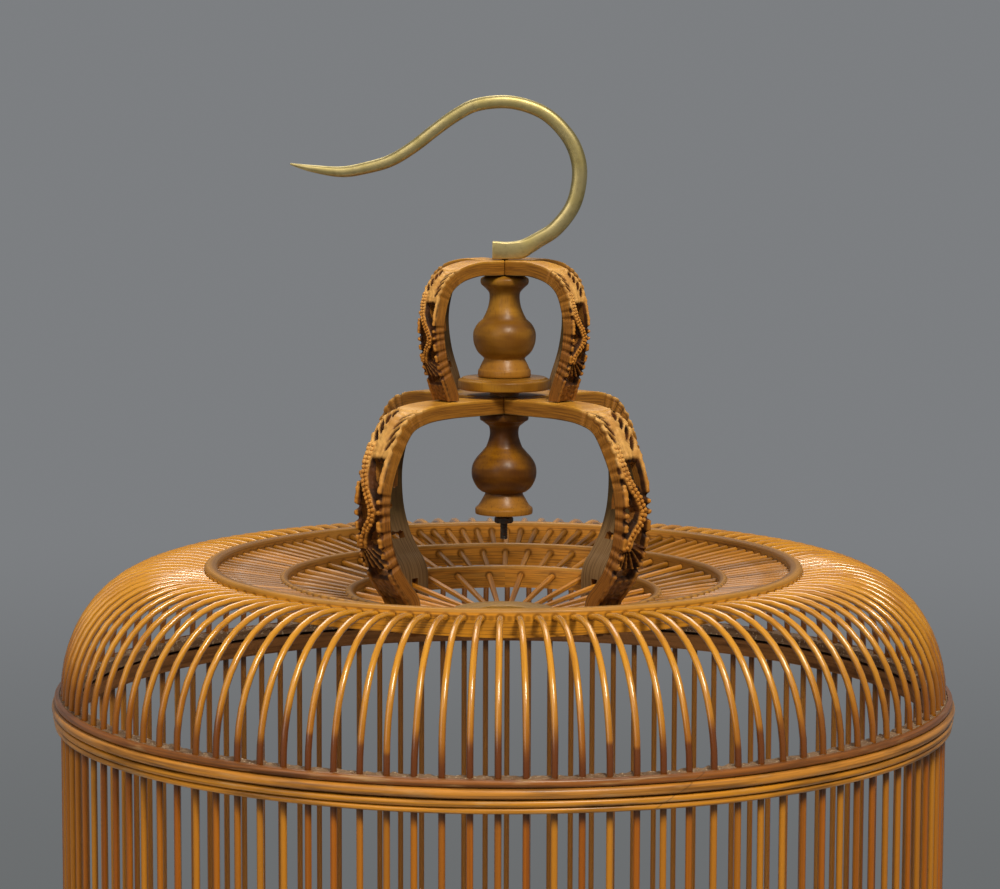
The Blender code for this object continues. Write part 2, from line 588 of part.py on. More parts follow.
def base():
    """Base hoop on four feet, with the slatted floor inside it."""
    hoop_top = BASE_HOOP_BOTTOM + BASE_HOOP_DEPTH
    turned("base_hoop", hoop_outline(BASE_BORE, BASE_BORE + BASE_WIDTH, hoop_top, BASE_HOOP_DEPTH, BASE_EDGE),
           HOOP_STEPS, BAMBOO_BROWN)
    foot_middle = BASE_BORE + BASE_WIDTH / 2
    for name, turn in FOOT_TURNS.items():
        bm = bmesh.new()
        corners = box(bm, (foot_middle - FOOT_THICKNESS / 2, -FOOT_WIDTH / 2, 0.0),
                      (foot_middle + FOOT_THICKNESS / 2, FOOT_WIDTH / 2, BASE_HOOP_BOTTOM - SEAT_GAP))
        lowest = [corner for corner in corners if corner.co.z < BASE_HOOP_BOTTOM / 2]
        bmesh.ops.transform(bm, verts=lowest, matrix=Matrix.Diagonal((1.0, FOOT_TAPER_SHARE, 1.0, 1.0)))
        bmesh.ops.transform(bm, verts=corners, matrix=Matrix.Rotation(turn, 4, "Z"))
        place(name, mesh_from(bm, name), BAMBOO_BROWN)
    bearer_bottom = BASE_HOOP_BOTTOM + SEAT_GAP
    bore = BASE_BORE - SEAT_GAP
    offset = BASE_BORE - BEARER_INSET
    half = sqrt(bore ** 2 - (offset + BEARER_WIDTH / 2) ** 2)
    for side, name in ((-1, "floor_bearer_front"), (1, "floor_bearer_back")):
        bm = bmesh.new()
        box(bm, (-half, side * offset - BEARER_WIDTH / 2, bearer_bottom),
            (half, side * offset + BEARER_WIDTH / 2, bearer_bottom + BEARER_DEPTH))
        place(name, mesh_from(bm, name), BAMBOO_BROWN)
    slat_bottom = bearer_bottom + BEARER_DEPTH + SEAT_GAP
    pitch = (BASE_BORE - SLAT_EDGE) / SLATS_EACH_SIDE
    for index in range(-SLATS_EACH_SIDE, SLATS_EACH_SIDE + 1):
        middle = index * pitch
        half = sqrt(bore ** 2 - (abs(middle) + SLAT_WIDTH / 2) ** 2)
        bm = bmesh.new()
        box(bm, (middle - SLAT_WIDTH / 2, -half, slat_bottom),
            (middle + SLAT_WIDTH / 2, half, slat_bottom + SLAT_DEPTH))
        name = f"floor_slat_{index + SLATS_EACH_SIDE + 1:02d}"
        place(name, mesh_from(bm, name), BAMBOO_LIGHT)


def tray():
    """Tray that pulls out to the front on two runners under the base hoop."""
    axis = joint_empty("tray_slide_axis")
    half_width = BASE_BORE - TRAY_SIDE_INSET
    front = BASE_BORE - TRAY_FRONT_INSET
    back = BASE_BORE - TRAY_BACK_INSET
    bm = bmesh.new()
    box(bm, (-half_width, -front, TRAY_BOTTOM), (half_width, back, TRAY_BOTTOM + TRAY_DEPTH))
    top = max(bm.faces, key=lambda face: face.calc_center_median().z)
    bmesh.ops.inset_individual(bm, faces=[top], thickness=TRAY_RIM)
    sunk = bmesh.ops.extrude_face_region(bm, geom=[top])["geom"]
    bmesh.ops.delete(bm, geom=[top], context="FACES_ONLY")
    bmesh.ops.translate(bm, verts=[item for item in sunk if isinstance(item, bmesh.types.BMVert)],
                        vec=(0.0, 0.0, TRAY_FLOOR - TRAY_DEPTH))
    place("tray", mesh_from(bm, "tray"), BAMBOO_LIGHT, 0.6, 0.0, axis)
    outline = [(share * KNOB_RADIUS, rise * KNOB_LENGTH) for share, rise in KNOB_SHARES]
    knob = turned("tray_knob", outline + [(0.0, 0.0)], SMALL_STEPS, TURNED_WOOD, 0.35, 0.0, axis)
    knob.location = (0.0, -front - SEAT_GAP, TRAY_BOTTOM + TRAY_DEPTH / 2)
    knob.rotation_euler = (pi / 2, 0.0, 0.0)
    for side, name in ((-1, "tray_runner_left"), (1, "tray_runner_right")):
        inner = half_width + RUNNER_CLEARANCE
        outer = inner + RUNNER_WEB
        top = BASE_HOOP_BOTTOM - SEAT_GAP
        lip_top = TRAY_BOTTOM - SEAT_GAP
        bm = bmesh.new()
        sections = []
        for y in (RUNNER_INSET - BASE_BORE, BASE_BORE - RUNNER_INSET):
            points = ((outer, lip_top - RUNNER_LIP_DEPTH), (outer, top), (inner, top), (inner, lip_top),
                      (inner - RUNNER_LIP, lip_top), (inner - RUNNER_LIP, lip_top - RUNNER_LIP_DEPTH))
            sections.append([Vector((side * x, y, z)) for x, z in points])
        loft(bm, sections)
        place(name, mesh_from(bm, name), BAMBOO_BROWN)


def door():
    """Door bars between a forked bottom lath, which runs on two wall bars, and a top lath outside."""
    axis = joint_empty("door_slide_axis")
    bottom = BASE_HOOP_BOTTOM + BASE_HOOP_DEPTH + SEAT_GAP
    circle = BAR_CIRCLE_RADIUS + DOOR_BAR_PROUD
    lath = curved_lath("door_bottom_lath", BAR_CIRCLE_RADIUS - DOOR_LATH_INSIDE,
                       BAR_CIRCLE_RADIUS + DOOR_LATH_OUTSIDE, bottom, bottom + DOOR_RAIL_DEPTH,
                       -DOOR_LATH_PITCHES, DOOR_LATH_PITCHES)
    panel = place("door", lath, BAMBOO_LIGHT, 0.4, 0.0, axis)
    guide = (DOOR_HALF_COUNT + 1) * PITCH
    slot = BAR_RADIUS + SLOT_CLEARANCE
    run_out = (DOOR_LATH_PITCHES - DOOR_HALF_COUNT) * PITCH * BAR_CIRCLE_RADIUS
    bm = bmesh.new()
    for side in (-1, 1):
        near, far = sorted((-side * slot, side * run_out))
        box(bm, (near, -BAR_CIRCLE_RADIUS - slot, bottom - CUTTER_OVERRUN),
            (far, -BAR_CIRCLE_RADIUS + slot, bottom + DOOR_RAIL_DEPTH + CUTTER_OVERRUN), side * guide)
    cut(panel, "door_forks", bm)
    outer = circle + BAR_RADIUS - DOOR_LATH_SINK
    top = DOOR_BAR_TOP - DOOR_TOP_LATH_DROP
    join(panel, "door_top_lath",
         curved_lath("door_top_lath", outer, outer + DOOR_RAIL_WIDTH, top - DOOR_RAIL_DEPTH, top,
                     -DOOR_LATH_PITCHES, DOOR_LATH_PITCHES))
    paths = []
    for index in range(-DOOR_HALF_COUNT - 1, DOOR_HALF_COUNT + 1):
        turn = (index + 0.5) * PITCH
        paths.append((turn, [polar(circle, turn, bottom + DOOR_BAR_LIFT), polar(circle, turn, DOOR_BAR_TOP)]))
    join(panel, "door_bars", swept(paths, BAR_RADIUS, "door_bars"))


def perch():
    """A straight perch whose slotted ends hold one wall bar each."""
    holding = polar(BAR_CIRCLE_RADIUS, PERCH_BAR * PITCH, PERCH_HEIGHT)
    half = holding.x + BAR_RADIUS + PERCH_OVERHANG
    bm = bmesh.new()
    to_place = Matrix.Translation((0.0, holding.y, PERCH_HEIGHT)) @ Matrix.Rotation(pi / 2, 4, "Y")
    bmesh.ops.create_cone(bm, cap_ends=True, segments=PERCH_SIDES, radius1=PERCH_RADIUS,
                          radius2=PERCH_RADIUS, depth=2 * half, matrix=to_place)
    rod = place("perch", mesh_from(bm, "perch"), BAMBOO_BROWN, 0.6)
    bm = bmesh.new()
    slot = BAR_RADIUS + SLOT_CLEARANCE
    for side in (-1, 1):
        edges = sorted((side * (holding.x - slot), side * (half + CUTTER_OVERRUN)))
        box(bm, (edges[0], holding.y - slot, PERCH_HEIGHT - PERCH_RADIUS - CUTTER_OVERRUN),
            (edges[1], holding.y + slot, PERCH_HEIGHT + PERCH_RADIUS + CUTTER_OVERRUN))
    cut(rod, "perch_slots", bm)


base()
tray()
cage_bars()
wall_hoop()
shoulder_hoops()
door()
perch()
crown()
yokes()
turned_pieces()
hook_and_rod()
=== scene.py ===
from math import atan2, cos, hypot, inf, pi, radians, sin, sqrt
from random import Random

import bpy
from mathutils import Matrix, Vector, noise


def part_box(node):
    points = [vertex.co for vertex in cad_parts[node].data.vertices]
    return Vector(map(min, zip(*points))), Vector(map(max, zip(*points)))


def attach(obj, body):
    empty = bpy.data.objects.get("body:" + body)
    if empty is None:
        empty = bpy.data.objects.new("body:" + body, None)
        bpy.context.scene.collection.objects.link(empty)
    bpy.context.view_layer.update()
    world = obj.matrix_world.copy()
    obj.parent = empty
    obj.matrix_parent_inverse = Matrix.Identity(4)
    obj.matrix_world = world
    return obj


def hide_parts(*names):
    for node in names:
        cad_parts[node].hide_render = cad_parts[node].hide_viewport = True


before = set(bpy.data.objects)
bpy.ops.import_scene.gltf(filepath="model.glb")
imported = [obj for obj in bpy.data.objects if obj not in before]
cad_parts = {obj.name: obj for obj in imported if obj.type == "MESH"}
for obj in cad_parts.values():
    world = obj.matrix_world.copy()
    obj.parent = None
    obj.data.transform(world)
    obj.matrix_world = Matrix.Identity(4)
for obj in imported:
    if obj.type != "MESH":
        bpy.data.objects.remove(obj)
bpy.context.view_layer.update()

# Places and sizes that several pieces share, in metres
cage = {
    "barCount": 112,
    "barCircle": 0.1768,
    "barRadius": 0.00128,
    "seat": 0.0003,               # how deep an end stands in the piece that holds it
    "mitre": 0.0001,              # half the gap between two mitred ends
    "slotHalf": 0.0017,           # half the slot that clips round a bar
}
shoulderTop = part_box("shoulder_hoop")[1].z
barPitch = 2 * pi / cage["barCount"]
millimetre = 0.001


# Small tools

def cleanSelection():
    if bpy.context.object and bpy.context.object.mode != "OBJECT":
        bpy.ops.object.mode_set(mode="OBJECT")
    bpy.ops.object.select_all(action="DESELECT")


def makeActive(piece):
    cleanSelection()
    piece.select_set(True)
    bpy.context.view_layer.objects.active = piece


# What an operator adds, alone and selected
def added(operator, **settings):
    cleanSelection()
    operator(**settings)
    return bpy.context.object


def applyModifier(piece, kind, **settings):
    makeActive(piece)
    modifier = piece.modifiers.new(kind.lower(), kind)
    for key, value in settings.items():
        setattr(modifier, key, value)
    bpy.ops.object.modifier_apply(modifier=modifier.name)


def weldAndTurnOut(piece, closeEnds=False):
    makeActive(piece)
    bpy.ops.object.mode_set(mode="EDIT")
    bpy.ops.mesh.select_all(action="SELECT")
    bpy.ops.mesh.remove_doubles(threshold=1e-6)
    if closeEnds:
        bpy.ops.mesh.select_all(action="SELECT")
        bpy.ops.mesh.fill_holes(sides=0)
    bpy.ops.mesh.select_all(action="SELECT")
    bpy.ops.mesh.normals_make_consistent(inside=False)
    bpy.ops.object.mode_set(mode="OBJECT")


def smoothShade(piece, angle=40):
    makeActive(piece)
    bpy.ops.object.shade_smooth_by_angle(angle=radians(angle))


# A grid primitive whose every corner is then set in its place. u and v run from 0 to 1.
def shapedGrid(name, columns, rows, placeAt, uvSize=(1.0, 1.0)):
    piece = added(bpy.ops.mesh.primitive_grid_add, x_subdivisions=columns, y_subdivisions=rows, size=1)
    piece.name = name
    for corner in piece.data.vertices:
        corner.co = placeAt(corner.co.x + 0.5, corner.co.y + 0.5)
    for loop in piece.data.uv_layers[0].data:
        loop.uv = (loop.uv[0] * uvSize[0], loop.uv[1] * uvSize[1])
    return piece


# A value for each corner of the mesh, or one for all of them
def setAttribute(piece, name, values):
    layer = piece.data.attributes.get(name) or piece.data.attributes.new(name, "FLOAT", "POINT")
    layer.data.foreach_set("value", values if isinstance(values, list) else [values] * len(layer.data))


def copyOf(master, name, matrix=Matrix.Identity(4)):
    twin = master.copy()
    twin.data = master.data.copy()
    twin.name = name
    twin.data.transform(matrix)
    bpy.context.scene.collection.objects.link(twin)
    return twin


def joinAs(name, pieces):
    cleanSelection()
    for piece in pieces:
        piece.select_set(True)
    bpy.context.view_layer.objects.active = pieces[0]
    if len(pieces) > 1:
        bpy.ops.object.join()
    joined = bpy.context.object
    joined.name = name
    joined.data.name = name
    return joined


def removePiece(piece):
    bpy.data.objects.remove(piece, do_unlink=True)


# A point at an angle counted from the front, towards the right-hand side
def polar(radius, turn, height):
    return Vector((radius * sin(turn), -radius * cos(turn), height))


def mixed(a, b, share):
    return a + (b - a) * share


def eased(low, high, value):
    share = min(max((value - low) / (high - low), 0.0), 1.0)
    return share * share * (3 - 2 * share)


# A smooth line through a few points, with so many steps from one point to the next
def smoothLine(points, steps):
    points = [Vector(point) for point in points]
    ends = [points[0] * 2 - points[1]] + points + [points[-1] * 2 - points[-2]]
    line = []
    for before, start, end, after in zip(ends, ends[1:], ends[2:], ends[3:]):
        for step in range(steps):
            t = step / steps
            line.append(0.5 * (2 * start + (end - before) * t + (2 * before - 5 * start + 4 * end - after) * t * t
                               + (3 * start - before - 3 * end + after) * t * t * t))
    line.append(points[-1])
    return line


# How far along a line each of its points is
def lengthsOf(line):
    lengths = [0.0]
    for a, b in zip(line, line[1:]):
        lengths.append(lengths[-1] + (b - a).length)
    return lengths


# Square to a flat line at one of its points, on its right-hand side
def rightOf(line, row):
    along = (line[min(row + 1, len(line) - 1)] - line[max(row - 1, 0)]).normalized()
    return Vector((along.y, -along.x))


# A section with its corners cut off, as a closed loop
def cutSection(inner, outer, bottom, top, innerEdge, outerEdge):
    return [(inner, bottom + innerEdge), (inner, top - innerEdge), (inner + innerEdge, top), (outer - outerEdge, top),
            (outer, top - outerEdge), (outer, bottom + outerEdge), (outer - outerEdge, bottom),
            (inner + innerEdge, bottom)]


def turnAround(angle):
    return Matrix.Rotation(angle, 4, "Z")


def finishPiece(piece, body, slot, material, *nodes):
    piece.data.materials.clear()
    piece.data.materials.append(material)
    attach(piece, body)
    if nodes:
        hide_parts(*nodes)


# Node tools for the finishes. A Flow is what comes out of a node, so that sums of it are written plainly.

class Flow:
    def __init__(self, finish, socket):
        self.finish, self.socket = finish, socket

    def __add__(self, other):
        return self.finish.sums("ADD", self, other)

    def __sub__(self, other):
        return self.finish.sums("SUBTRACT", self, other)

    def __rsub__(self, other):
        return self.finish.sums("SUBTRACT", other, self)

    def __mul__(self, other):
        return self.finish.sums("MULTIPLY", self, other)

    def __truediv__(self, other):
        return self.finish.sums("DIVIDE", self, other)

    def __abs__(self):
        return self.finish.sums("ABSOLUTE", self)


class Finish:
    inputNames = {"roughness": "Roughness", "metal": "Metallic", "specular": "Specular IOR Level",
                  "coat": "Coat Weight", "coatRoughness": "Coat Roughness", "glow": "Emission Strength"}

    def __init__(self, name, **shaderValues):
        self.material = bpy.data.materials.new(name)
        self.material.use_nodes = True
        self.tree = self.material.node_tree
        self.shader = self.tree.nodes["Principled BSDF"]
        for key, value in shaderValues.items():
            self.shader.inputs[self.inputNames[key]].default_value = value
        self.coordinates = self.tree.nodes.new("ShaderNodeTexCoord")

    # a node with its inputs given by place or name; the settings are the node's own
    def add(self, kind, inputs=None, output=0, **settings):
        made = self.tree.nodes.new(kind)
        for key, value in settings.items():
            setattr(made, key, value)
        for key, value in (inputs or {}).items():
            self.feed(made.inputs[key], value)
        return Flow(self, made.outputs[output])

    def feed(self, socket, value):
        if isinstance(value, Flow):
            self.tree.links.new(value.socket, socket)
        else:
            socket.default_value = (*value, 1.0) if socket.type == "RGBA" else value

    def place(self):
        return Flow(self, self.coordinates.outputs["Object"])

    def uv(self):
        return Flow(self, self.coordinates.outputs["UV"])

    def attribute(self, name):
        return self.add("ShaderNodeAttribute", output="Fac", attribute_name=name)

    def sums(self, operation, *values):
        return self.add("ShaderNodeMath", dict(enumerate(values)), operation=operation)

    def split(self, vector):
        made = self.add("ShaderNodeSeparateXYZ", {0: vector}).socket.node
        return [Flow(self, socket) for socket in made.outputs]

    def gather(self, x, y, z):
        return self.add("ShaderNodeCombineXYZ", {0: x, 1: y, 2: z})

    def stretch(self, vector, scale):
        return self.add("ShaderNodeVectorMath", {0: vector, 1: scale}, operation="MULTIPLY")

    def grain(self, vector, scale=1.0, detail=3.0, roughness=0.55, distortion=0.0):
        return self.add("ShaderNodeTexNoise", {"Vector": vector, "Scale": scale, "Detail": detail,
                                               "Roughness": roughness, "Distortion": distortion})

    def step(self, value, low, high, toLow=0.0, toHigh=1.0):
        return self.add("ShaderNodeMapRange", {0: value, 1: low, 2: high, 3: toLow, 4: toHigh},
                        interpolation_type="SMOOTHSTEP")

    def blend(self, share, a, b):
        return self.add("ShaderNodeMix", {0: share, 6: a, 7: b}, 2, data_type="RGBA")

    # another random share, made of a piece's own
    def reshuffled(self, tone, times):
        return self.sums("FRACT", tone * times)

    def fromAxis(self):
        x, y, _ = self.split(self.place())
        return self.sums("SQRT", x * x + y * y)

    # angle round the cage from the front, and height
    def roundTheCage(self):
        x, y, z = self.split(self.place())
        return self.sums("ARCTAN2", x, y * -1.0), z

    def colour(self, value):
        self.feed(self.shader.inputs["Base Color"], value)

    def roughness(self, value):
        self.feed(self.shader.inputs["Roughness"], value)

    def bump(self, height, distance, strength):
        self.feed(self.shader.inputs["Normal"],
                  self.add("ShaderNodeBump", {"Height": height, "Distance": distance, "Strength": strength}))


print("frame loaded")

# Camera, at the photograph's angle
cameraSettings = {
    "place": (0.01226, -1.26787, 0.57536),
    "turn": 0.629,               # degrees, to the left
    "pitch": 6.422,              # degrees, downwards
    "roll": 0.187,
    "lens": 114.12,              # millimetres, as the sensor's width
    "sensor": 36,
    "clipStart": 0.01,
}


def setCamera(settings):
    camera = added(bpy.ops.object.camera_add)
    aim = turnAround(radians(settings["turn"]))
    aim @= Matrix.Rotation(radians(90 - settings["pitch"]), 4, "X")
    aim @= turnAround(radians(settings["roll"]))
    camera.matrix_world = Matrix.Translation(settings["place"]) @ aim
    camera.data.lens = settings["lens"]
    camera.data.sensor_width = settings["sensor"]
    camera.data.sensor_fit = "HORIZONTAL"
    camera.data.clip_start = settings["clipStart"]
    bpy.context.scene.camera = camera


setCamera(cameraSettings)

# Studio: a main lamp high on the right, soft light from the left and from behind, and a pale floor that
# fades into the backdrop
studioSettings = {
    "backdrop": (0.203, 0.211, 0.221),
    "backdropLow": (0.145, 0.152, 0.155),
    "fill": (1.0, 0.96, 0.88),
    "fillStrength": 0.26,
    "floorColour": (0.62, 0.61, 0.59),
    "floorShade": (0.5952, 0.5856, 0.5664),
    "floorRadius": 3.0,
    "floorFade": (0.46, 0.66),
    "floorRise": (0.80, 2.90),
    "lamps": (
        # place, size, power, colour
        ((0.40, -1.08, 1.72), 0.45, 28.0, (1.0, 0.94, 0.82)),
        ((-0.95, -1.15, 1.15), 1.30, 9.5, (1.0, 0.94, 0.84)),
        ((-0.1, 0.9, 1.6), 0.8, 9.0, (1.0, 0.97, 0.90)),
    ),
    "aim": (0.0, 0.0, 0.40),
}


def setStudio(settings):
    world = bpy.data.worlds.new("studio")
    world.use_nodes = True
    bpy.context.scene.world = world
    nodes, links = world.node_tree.nodes, world.node_tree.links
    nodes.clear()
    out = nodes.new("ShaderNodeOutputWorld")
    lit = nodes.new("ShaderNodeBackground")
    lit.inputs[0].default_value = (*settings["fill"], 1.0)
    lit.inputs[1].default_value = settings["fillStrength"]
    seen = nodes.new("ShaderNodeBackground")
    seen.inputs[0].default_value = (*settings["backdrop"], 1.0)
    path = nodes.new("ShaderNodeLightPath")
    either = path.outputs["Is Camera Ray"]
    for name in ("Is Glossy Ray", "Is Transmission Ray"):
        most = nodes.new("ShaderNodeMath")
        most.operation = "MAXIMUM"
        links.new(either, most.inputs[0])
        links.new(path.outputs[name], most.inputs[1])
        either = most.outputs[0]
    choose = nodes.new("ShaderNodeMixShader")
    links.new(either, choose.inputs[0])
    links.new(lit.outputs[0], choose.inputs[1])
    links.new(seen.outputs[0], choose.inputs[2])
    links.new(choose.outputs[0], out.inputs[0])
    for place, size, power, colour in settings["lamps"]:
        lamp = added(bpy.ops.object.light_add, type="AREA", location=place)
        lamp.data.size = size
        lamp.data.energy = power
        lamp.data.color = colour
        lamp.rotation_euler = (Vector(settings["aim"]) - Vector(place)).to_track_quat("-Z", "Y").to_euler()
    floor = added(bpy.ops.mesh.primitive_circle_add, vertices=96, radius=settings["floorRadius"], fill_type="NGON")
    floor.name = "floor"
    finish = Finish("pale_floor", roughness=0.7, specular=0.0, glow=1.0)
    away = finish.fromAxis()
    fade = finish.step(away, *settings["floorFade"])
    pale = finish.blend(finish.grain(finish.place(), 6.0), settings["floorColour"], settings["floorShade"])
    black = (0.0, 0.0, 0.0)
    finish.colour(finish.blend(fade, pale, black))
    far = finish.blend(finish.step(away, *settings["floorRise"]), settings["backdropLow"], settings["backdrop"])
    finish.feed(finish.shader.inputs["Emission Color"], finish.blend(fade, black, far))
    floor.data.materials.append(finish.material)
    bpy.context.scene.view_settings.view_transform = "Standard"


setStudio(studioSettings)
print("camera and studio set")

# Finish of the bars: lacquered splint, golden over the bend and red-brown where it meets the hoop
barFinish = {
    "golden": (0.590, 0.258, 0.015),
    "orange": (0.400, 0.114, 0.002),
    "streak": (0.250, 0.066, 0.001),
    "amberAndShade": (0.250, 0.074, 0.003),
    "pith": (0.330, 0.135, 0.016),
    "tint": (0.120, 0.027, 0.001),
    "stain": (0.040, 0.012, 0.002),
    "alongScale": 16.0,           # waves of the grain to a metre of the bar
}


def makeBarFinish(settings):
    finish = Finish("polished_splint", roughness=0.24, specular=0.3, coat=0.85, coatRoughness=0.17)
    tone = finish.attribute("tone")
    height = finish.split(finish.place())[2]
    across, along, _ = finish.split(finish.uv())
    shifted = finish.gather(tone * 37.0 + across * 3.0, along * settings["alongScale"], tone)
    broad = finish.grain(shifted)
    shifted = finish.gather(tone * 91.0 + across * 14.0, along * (3 * settings["alongScale"]), tone)
    fine = finish.grain(shifted, detail=4.0)
    wall = finish.step(height, shoulderTop - 0.02, shoulderTop + 0.035, 1.0, 0.0)
    base = finish.blend(wall, settings["golden"], settings["orange"])
    patches = finish.step(broad, 0.38, 0.72) * (wall * 0.5 + 0.5)
    base = finish.blend(patches, base, settings["streak"])
    base = finish.blend(finish.step(fine, 0.5, 0.8) * 0.45, base, settings["streak"])
    paler = finish.blend(finish.step(finish.reshuffled(tone, 7.0), 0.3, 1.0, 0.0, 0.6), base, settings["golden"])
    darker = finish.step(finish.reshuffled(tone, 17.0), 0.45, 1.0, 0.0, 0.6)
    paler = finish.blend(darker * wall, paler, settings["streak"])
    base = finish.blend(finish.step(finish.attribute("skin"), 0.25, 0.6), settings["pith"], paler)
    # a warm darker band rising from the hoop: partly the splint's own amber tone, partly painted shade on the lower
    # side of the bend
    rise = finish.step(height, shoulderTop + 0.006, shoulderTop + 0.036, 0.62, 0.0)
    above = finish.step(height, shoulderTop - 0.011, shoulderTop - 0.008)
    base = finish.blend(rise * above, base, settings["amberAndShade"])
    # the red-brown end of each bar above the hoop, soft on some bars, and a dark band just under the hoop
    top = finish.attribute("tintTop")
    soft = finish.step(finish.reshuffled(tone, 13.0), 0.0, 1.0, 0.0012, 0.006)
    over = finish.step(height, top - soft, top + soft, 1.0, 0.0)
    base = finish.blend(over * above * finish.attribute("tintShare"), base, settings["tint"])
    under = finish.step(height, shoulderTop - 0.0195, shoulderTop - 0.0135)
    under *= finish.step(height, shoulderTop - 0.009, shoulderTop - 0.005, 1.0, 0.0)
    finish.colour(finish.blend(under * 0.75, base, settings["stain"]))
    finish.roughness(finish.step(fine, 0.3, 0.8, 0.20, 0.36))
    finish.bump(fine, 0.00010, 0.5)
    return finish.material


splint = makeBarFinish(barFinish)

# Bars: a long and a short master bar, bent over the shoulder and copied round
barSettings = {
    "sides": 8,
    "wallRows": 3,
    "bendRows": 13,
    "foot": 0.0363,
    "shortFoot": 0.1400,          # the bars over the door stop at the wall hoop
    "shortReach": 3,
    "lift": 0.0265,
    "pullShare": 0.667,
    "pullRise": 0.0550,
    "endDrop": 0.0032,
    "crownOuter": 0.1204,
    "crownTop": 0.0502,
    "tintRise": (0.0070, 0.0190),
    "tintShares": (0.93, 0.25),   # of the bars in front, and of the others
    "tintReach": (9, 17),         # bars from the front where the one turns into the other
    "sway": 0.00025,
    "swayWaves": (0.4, 60.0),
    "swayStart": 0.02,            # from the hoop that holds the bar
}


def barLine(settings, foot):
    crownEnd = settings["crownOuter"] + cage["seat"]
    pull = mixed(settings["crownOuter"], cage["barCircle"], settings["pullShare"])
    handles = [Vector((cage["barCircle"], shoulderTop)),
               Vector((cage["barCircle"], shoulderTop + settings["lift"])),
               Vector((pull, shoulderTop + settings["pullRise"])),
               Vector((crownEnd, shoulderTop + settings["crownTop"] - settings["endDrop"]))]
    line = [Vector((cage["barCircle"], mixed(foot, shoulderTop, row / settings["wallRows"])))
            for row in range(settings["wallRows"])]
    for row in range(settings["bendRows"] + 1):
        t = row / settings["bendRows"]
        line.append(handles[0] * (1 - t) ** 3 + handles[1] * 3 * t * (1 - t) ** 2
                    + handles[2] * 3 * t * t * (1 - t) + handles[3] * t ** 3)
    return line


# A round splint swept along a line in the plane x = 0. Its skin side is away from the cage's middle.
def sweptSplint(name, line, radius, sides, tips=1.0):
    rows = len(line) - 1

    def placeAt(u, v):
        row = round(v * rows)
        size = radius * (tips if row in (0, rows) else 1.0)
        spot = line[row] + rightOf(line, row) * size * cos(2 * pi * u)
        return Vector((size * sin(2 * pi * u), -spot.x, spot.y))

    bar = shapedGrid(name, sides, rows, placeAt, (1.0, lengthsOf(line)[-1]))
    weldAndTurnOut(bar, closeEnds=True)
    return bar


# 1 on the skin side of a splint, 0 on the pith side
def skinValues(piece, line):
    values = []
    for corner in piece.data.vertices:
        spot = Vector((-corner.co.y, corner.co.z))
        nearest = min(range(len(line)), key=lambda row: (line[row] - spot).length)
        values.append(0.5 + 0.5 * (spot - line[nearest]).dot(rightOf(line, nearest)) / cage["barRadius"])
    return values


def makeBars(settings):
    chance = Random(11)
    swell, waves = settings["swayWaves"]
    masters = {}
    for kind, foot in (("long", settings["foot"]), ("short", settings["shortFoot"])):
        line = barLine(settings, foot)
        master = sweptSplint("bar_" + kind, line, cage["barRadius"], settings["sides"])
        setAttribute(master, "skin", skinValues(master, line))
        masters[kind] = master
    sectorNames = ("front", "front_right", "right", "back_right", "back", "back_left", "left", "front_left")
    perSector = cage["barCount"] // len(sectorNames)
    for sector, sectorName in enumerate(sectorNames):
        bars = []
        for index in range(sector * perSector - perSector // 2, (sector + 1) * perSector - perSector // 2):
            master = masters["short" if abs(index) <= settings["shortReach"] else "long"]
            bar = copyOf(master, "bar")
            sway, phase = chance.uniform(-1, 1) * settings["sway"], chance.uniform(0, 2 * pi)
            for corner in bar.data.vertices:
                free = eased(0.0, settings["swayStart"], corner.co.z - shoulderTop)
                free *= eased(0.0, settings["swayStart"], -corner.co.y - settings["crownOuter"])
                corner.co.x += sway * free * (1 + swell * sin(phase + waves * corner.co.z))
            setAttribute(bar, "tone", chance.random())
            setAttribute(bar, "tintTop", shoulderTop + chance.uniform(*settings["tintRise"]))
            sideways = min(abs(index), cage["barCount"] - abs(index))
            tintShare = mixed(*settings["tintShares"], eased(*settings["tintReach"], sideways))
            setAttribute(bar, "tintShare", tintShare)
            bar.data.transform(turnAround(index * barPitch))
            bars.append(bar)
        group = joinAs("bars_" + sectorName, bars)
        smoothShade(group, 50)
        finishPiece(group, "cage", "bamboo_bars", splint, "cage_bars_" + sectorName)
    for master in masters.values():
        removePiece(master)


makeBars(barSettings)
print("bars bent over the shoulder")

# Finish of the bent hoops: brown skin, tan and gold strands, told apart by height
hoopFinish = {
    "brown": (0.290, 0.095, 0.014),
    "tan": (0.560, 0.225, 0.026),
    "gold": (0.590, 0.235, 0.012),
    "dark": (0.050, 0.016, 0.003),
    "pale": (0.480, 0.280, 0.110),
    "chip": (0.460, 0.360, 0.240),
    "rough": (0.215, 0.130, 0.070),
    "underLathPaintedLight": (0.250, 0.108, 0.032),
    # near black, painted shade in the lath's slit
    "slit": (0.008, 0.004, 0.002),
    "streakShare": 0.55,
    "patchShare": 0.65,
    "wornShare": 0.6,
    # painted shade along the hoop's edges and the groove between its strands
    "grooveShade": (0.0001, 0.0006, 0.4),                           # half width, soft edge, share
    "scarfs": ((0.42, 1.0), (-1.30, -1.0), (2.2, 1.0)),      # angle round the cage, lean
    "scarfHalf": (0.0012, 0.0032),                           # radians, sharp and soft edge
}


# Dark streaks along a hoop of a radius: fine ones and broad patches. Gives the colour and the fine grain.
def hoopStreaks(finish, radius, settings, base, dark):
    angle, height = finish.roundTheCage()
    run = angle * radius
    fine = finish.grain(finish.gather(run * 14.0, height * 900.0, 0.0), detail=4.0)
    broad = finish.grain(finish.gather(run * 22.0, height * 260.0, 3.0))
    made = finish.blend(finish.step(fine, 0.42, 0.72) * settings["streakShare"], base, dark)
    return finish.blend(finish.step(broad, 0.46, 0.68) * settings["patchShare"], made, dark), fine


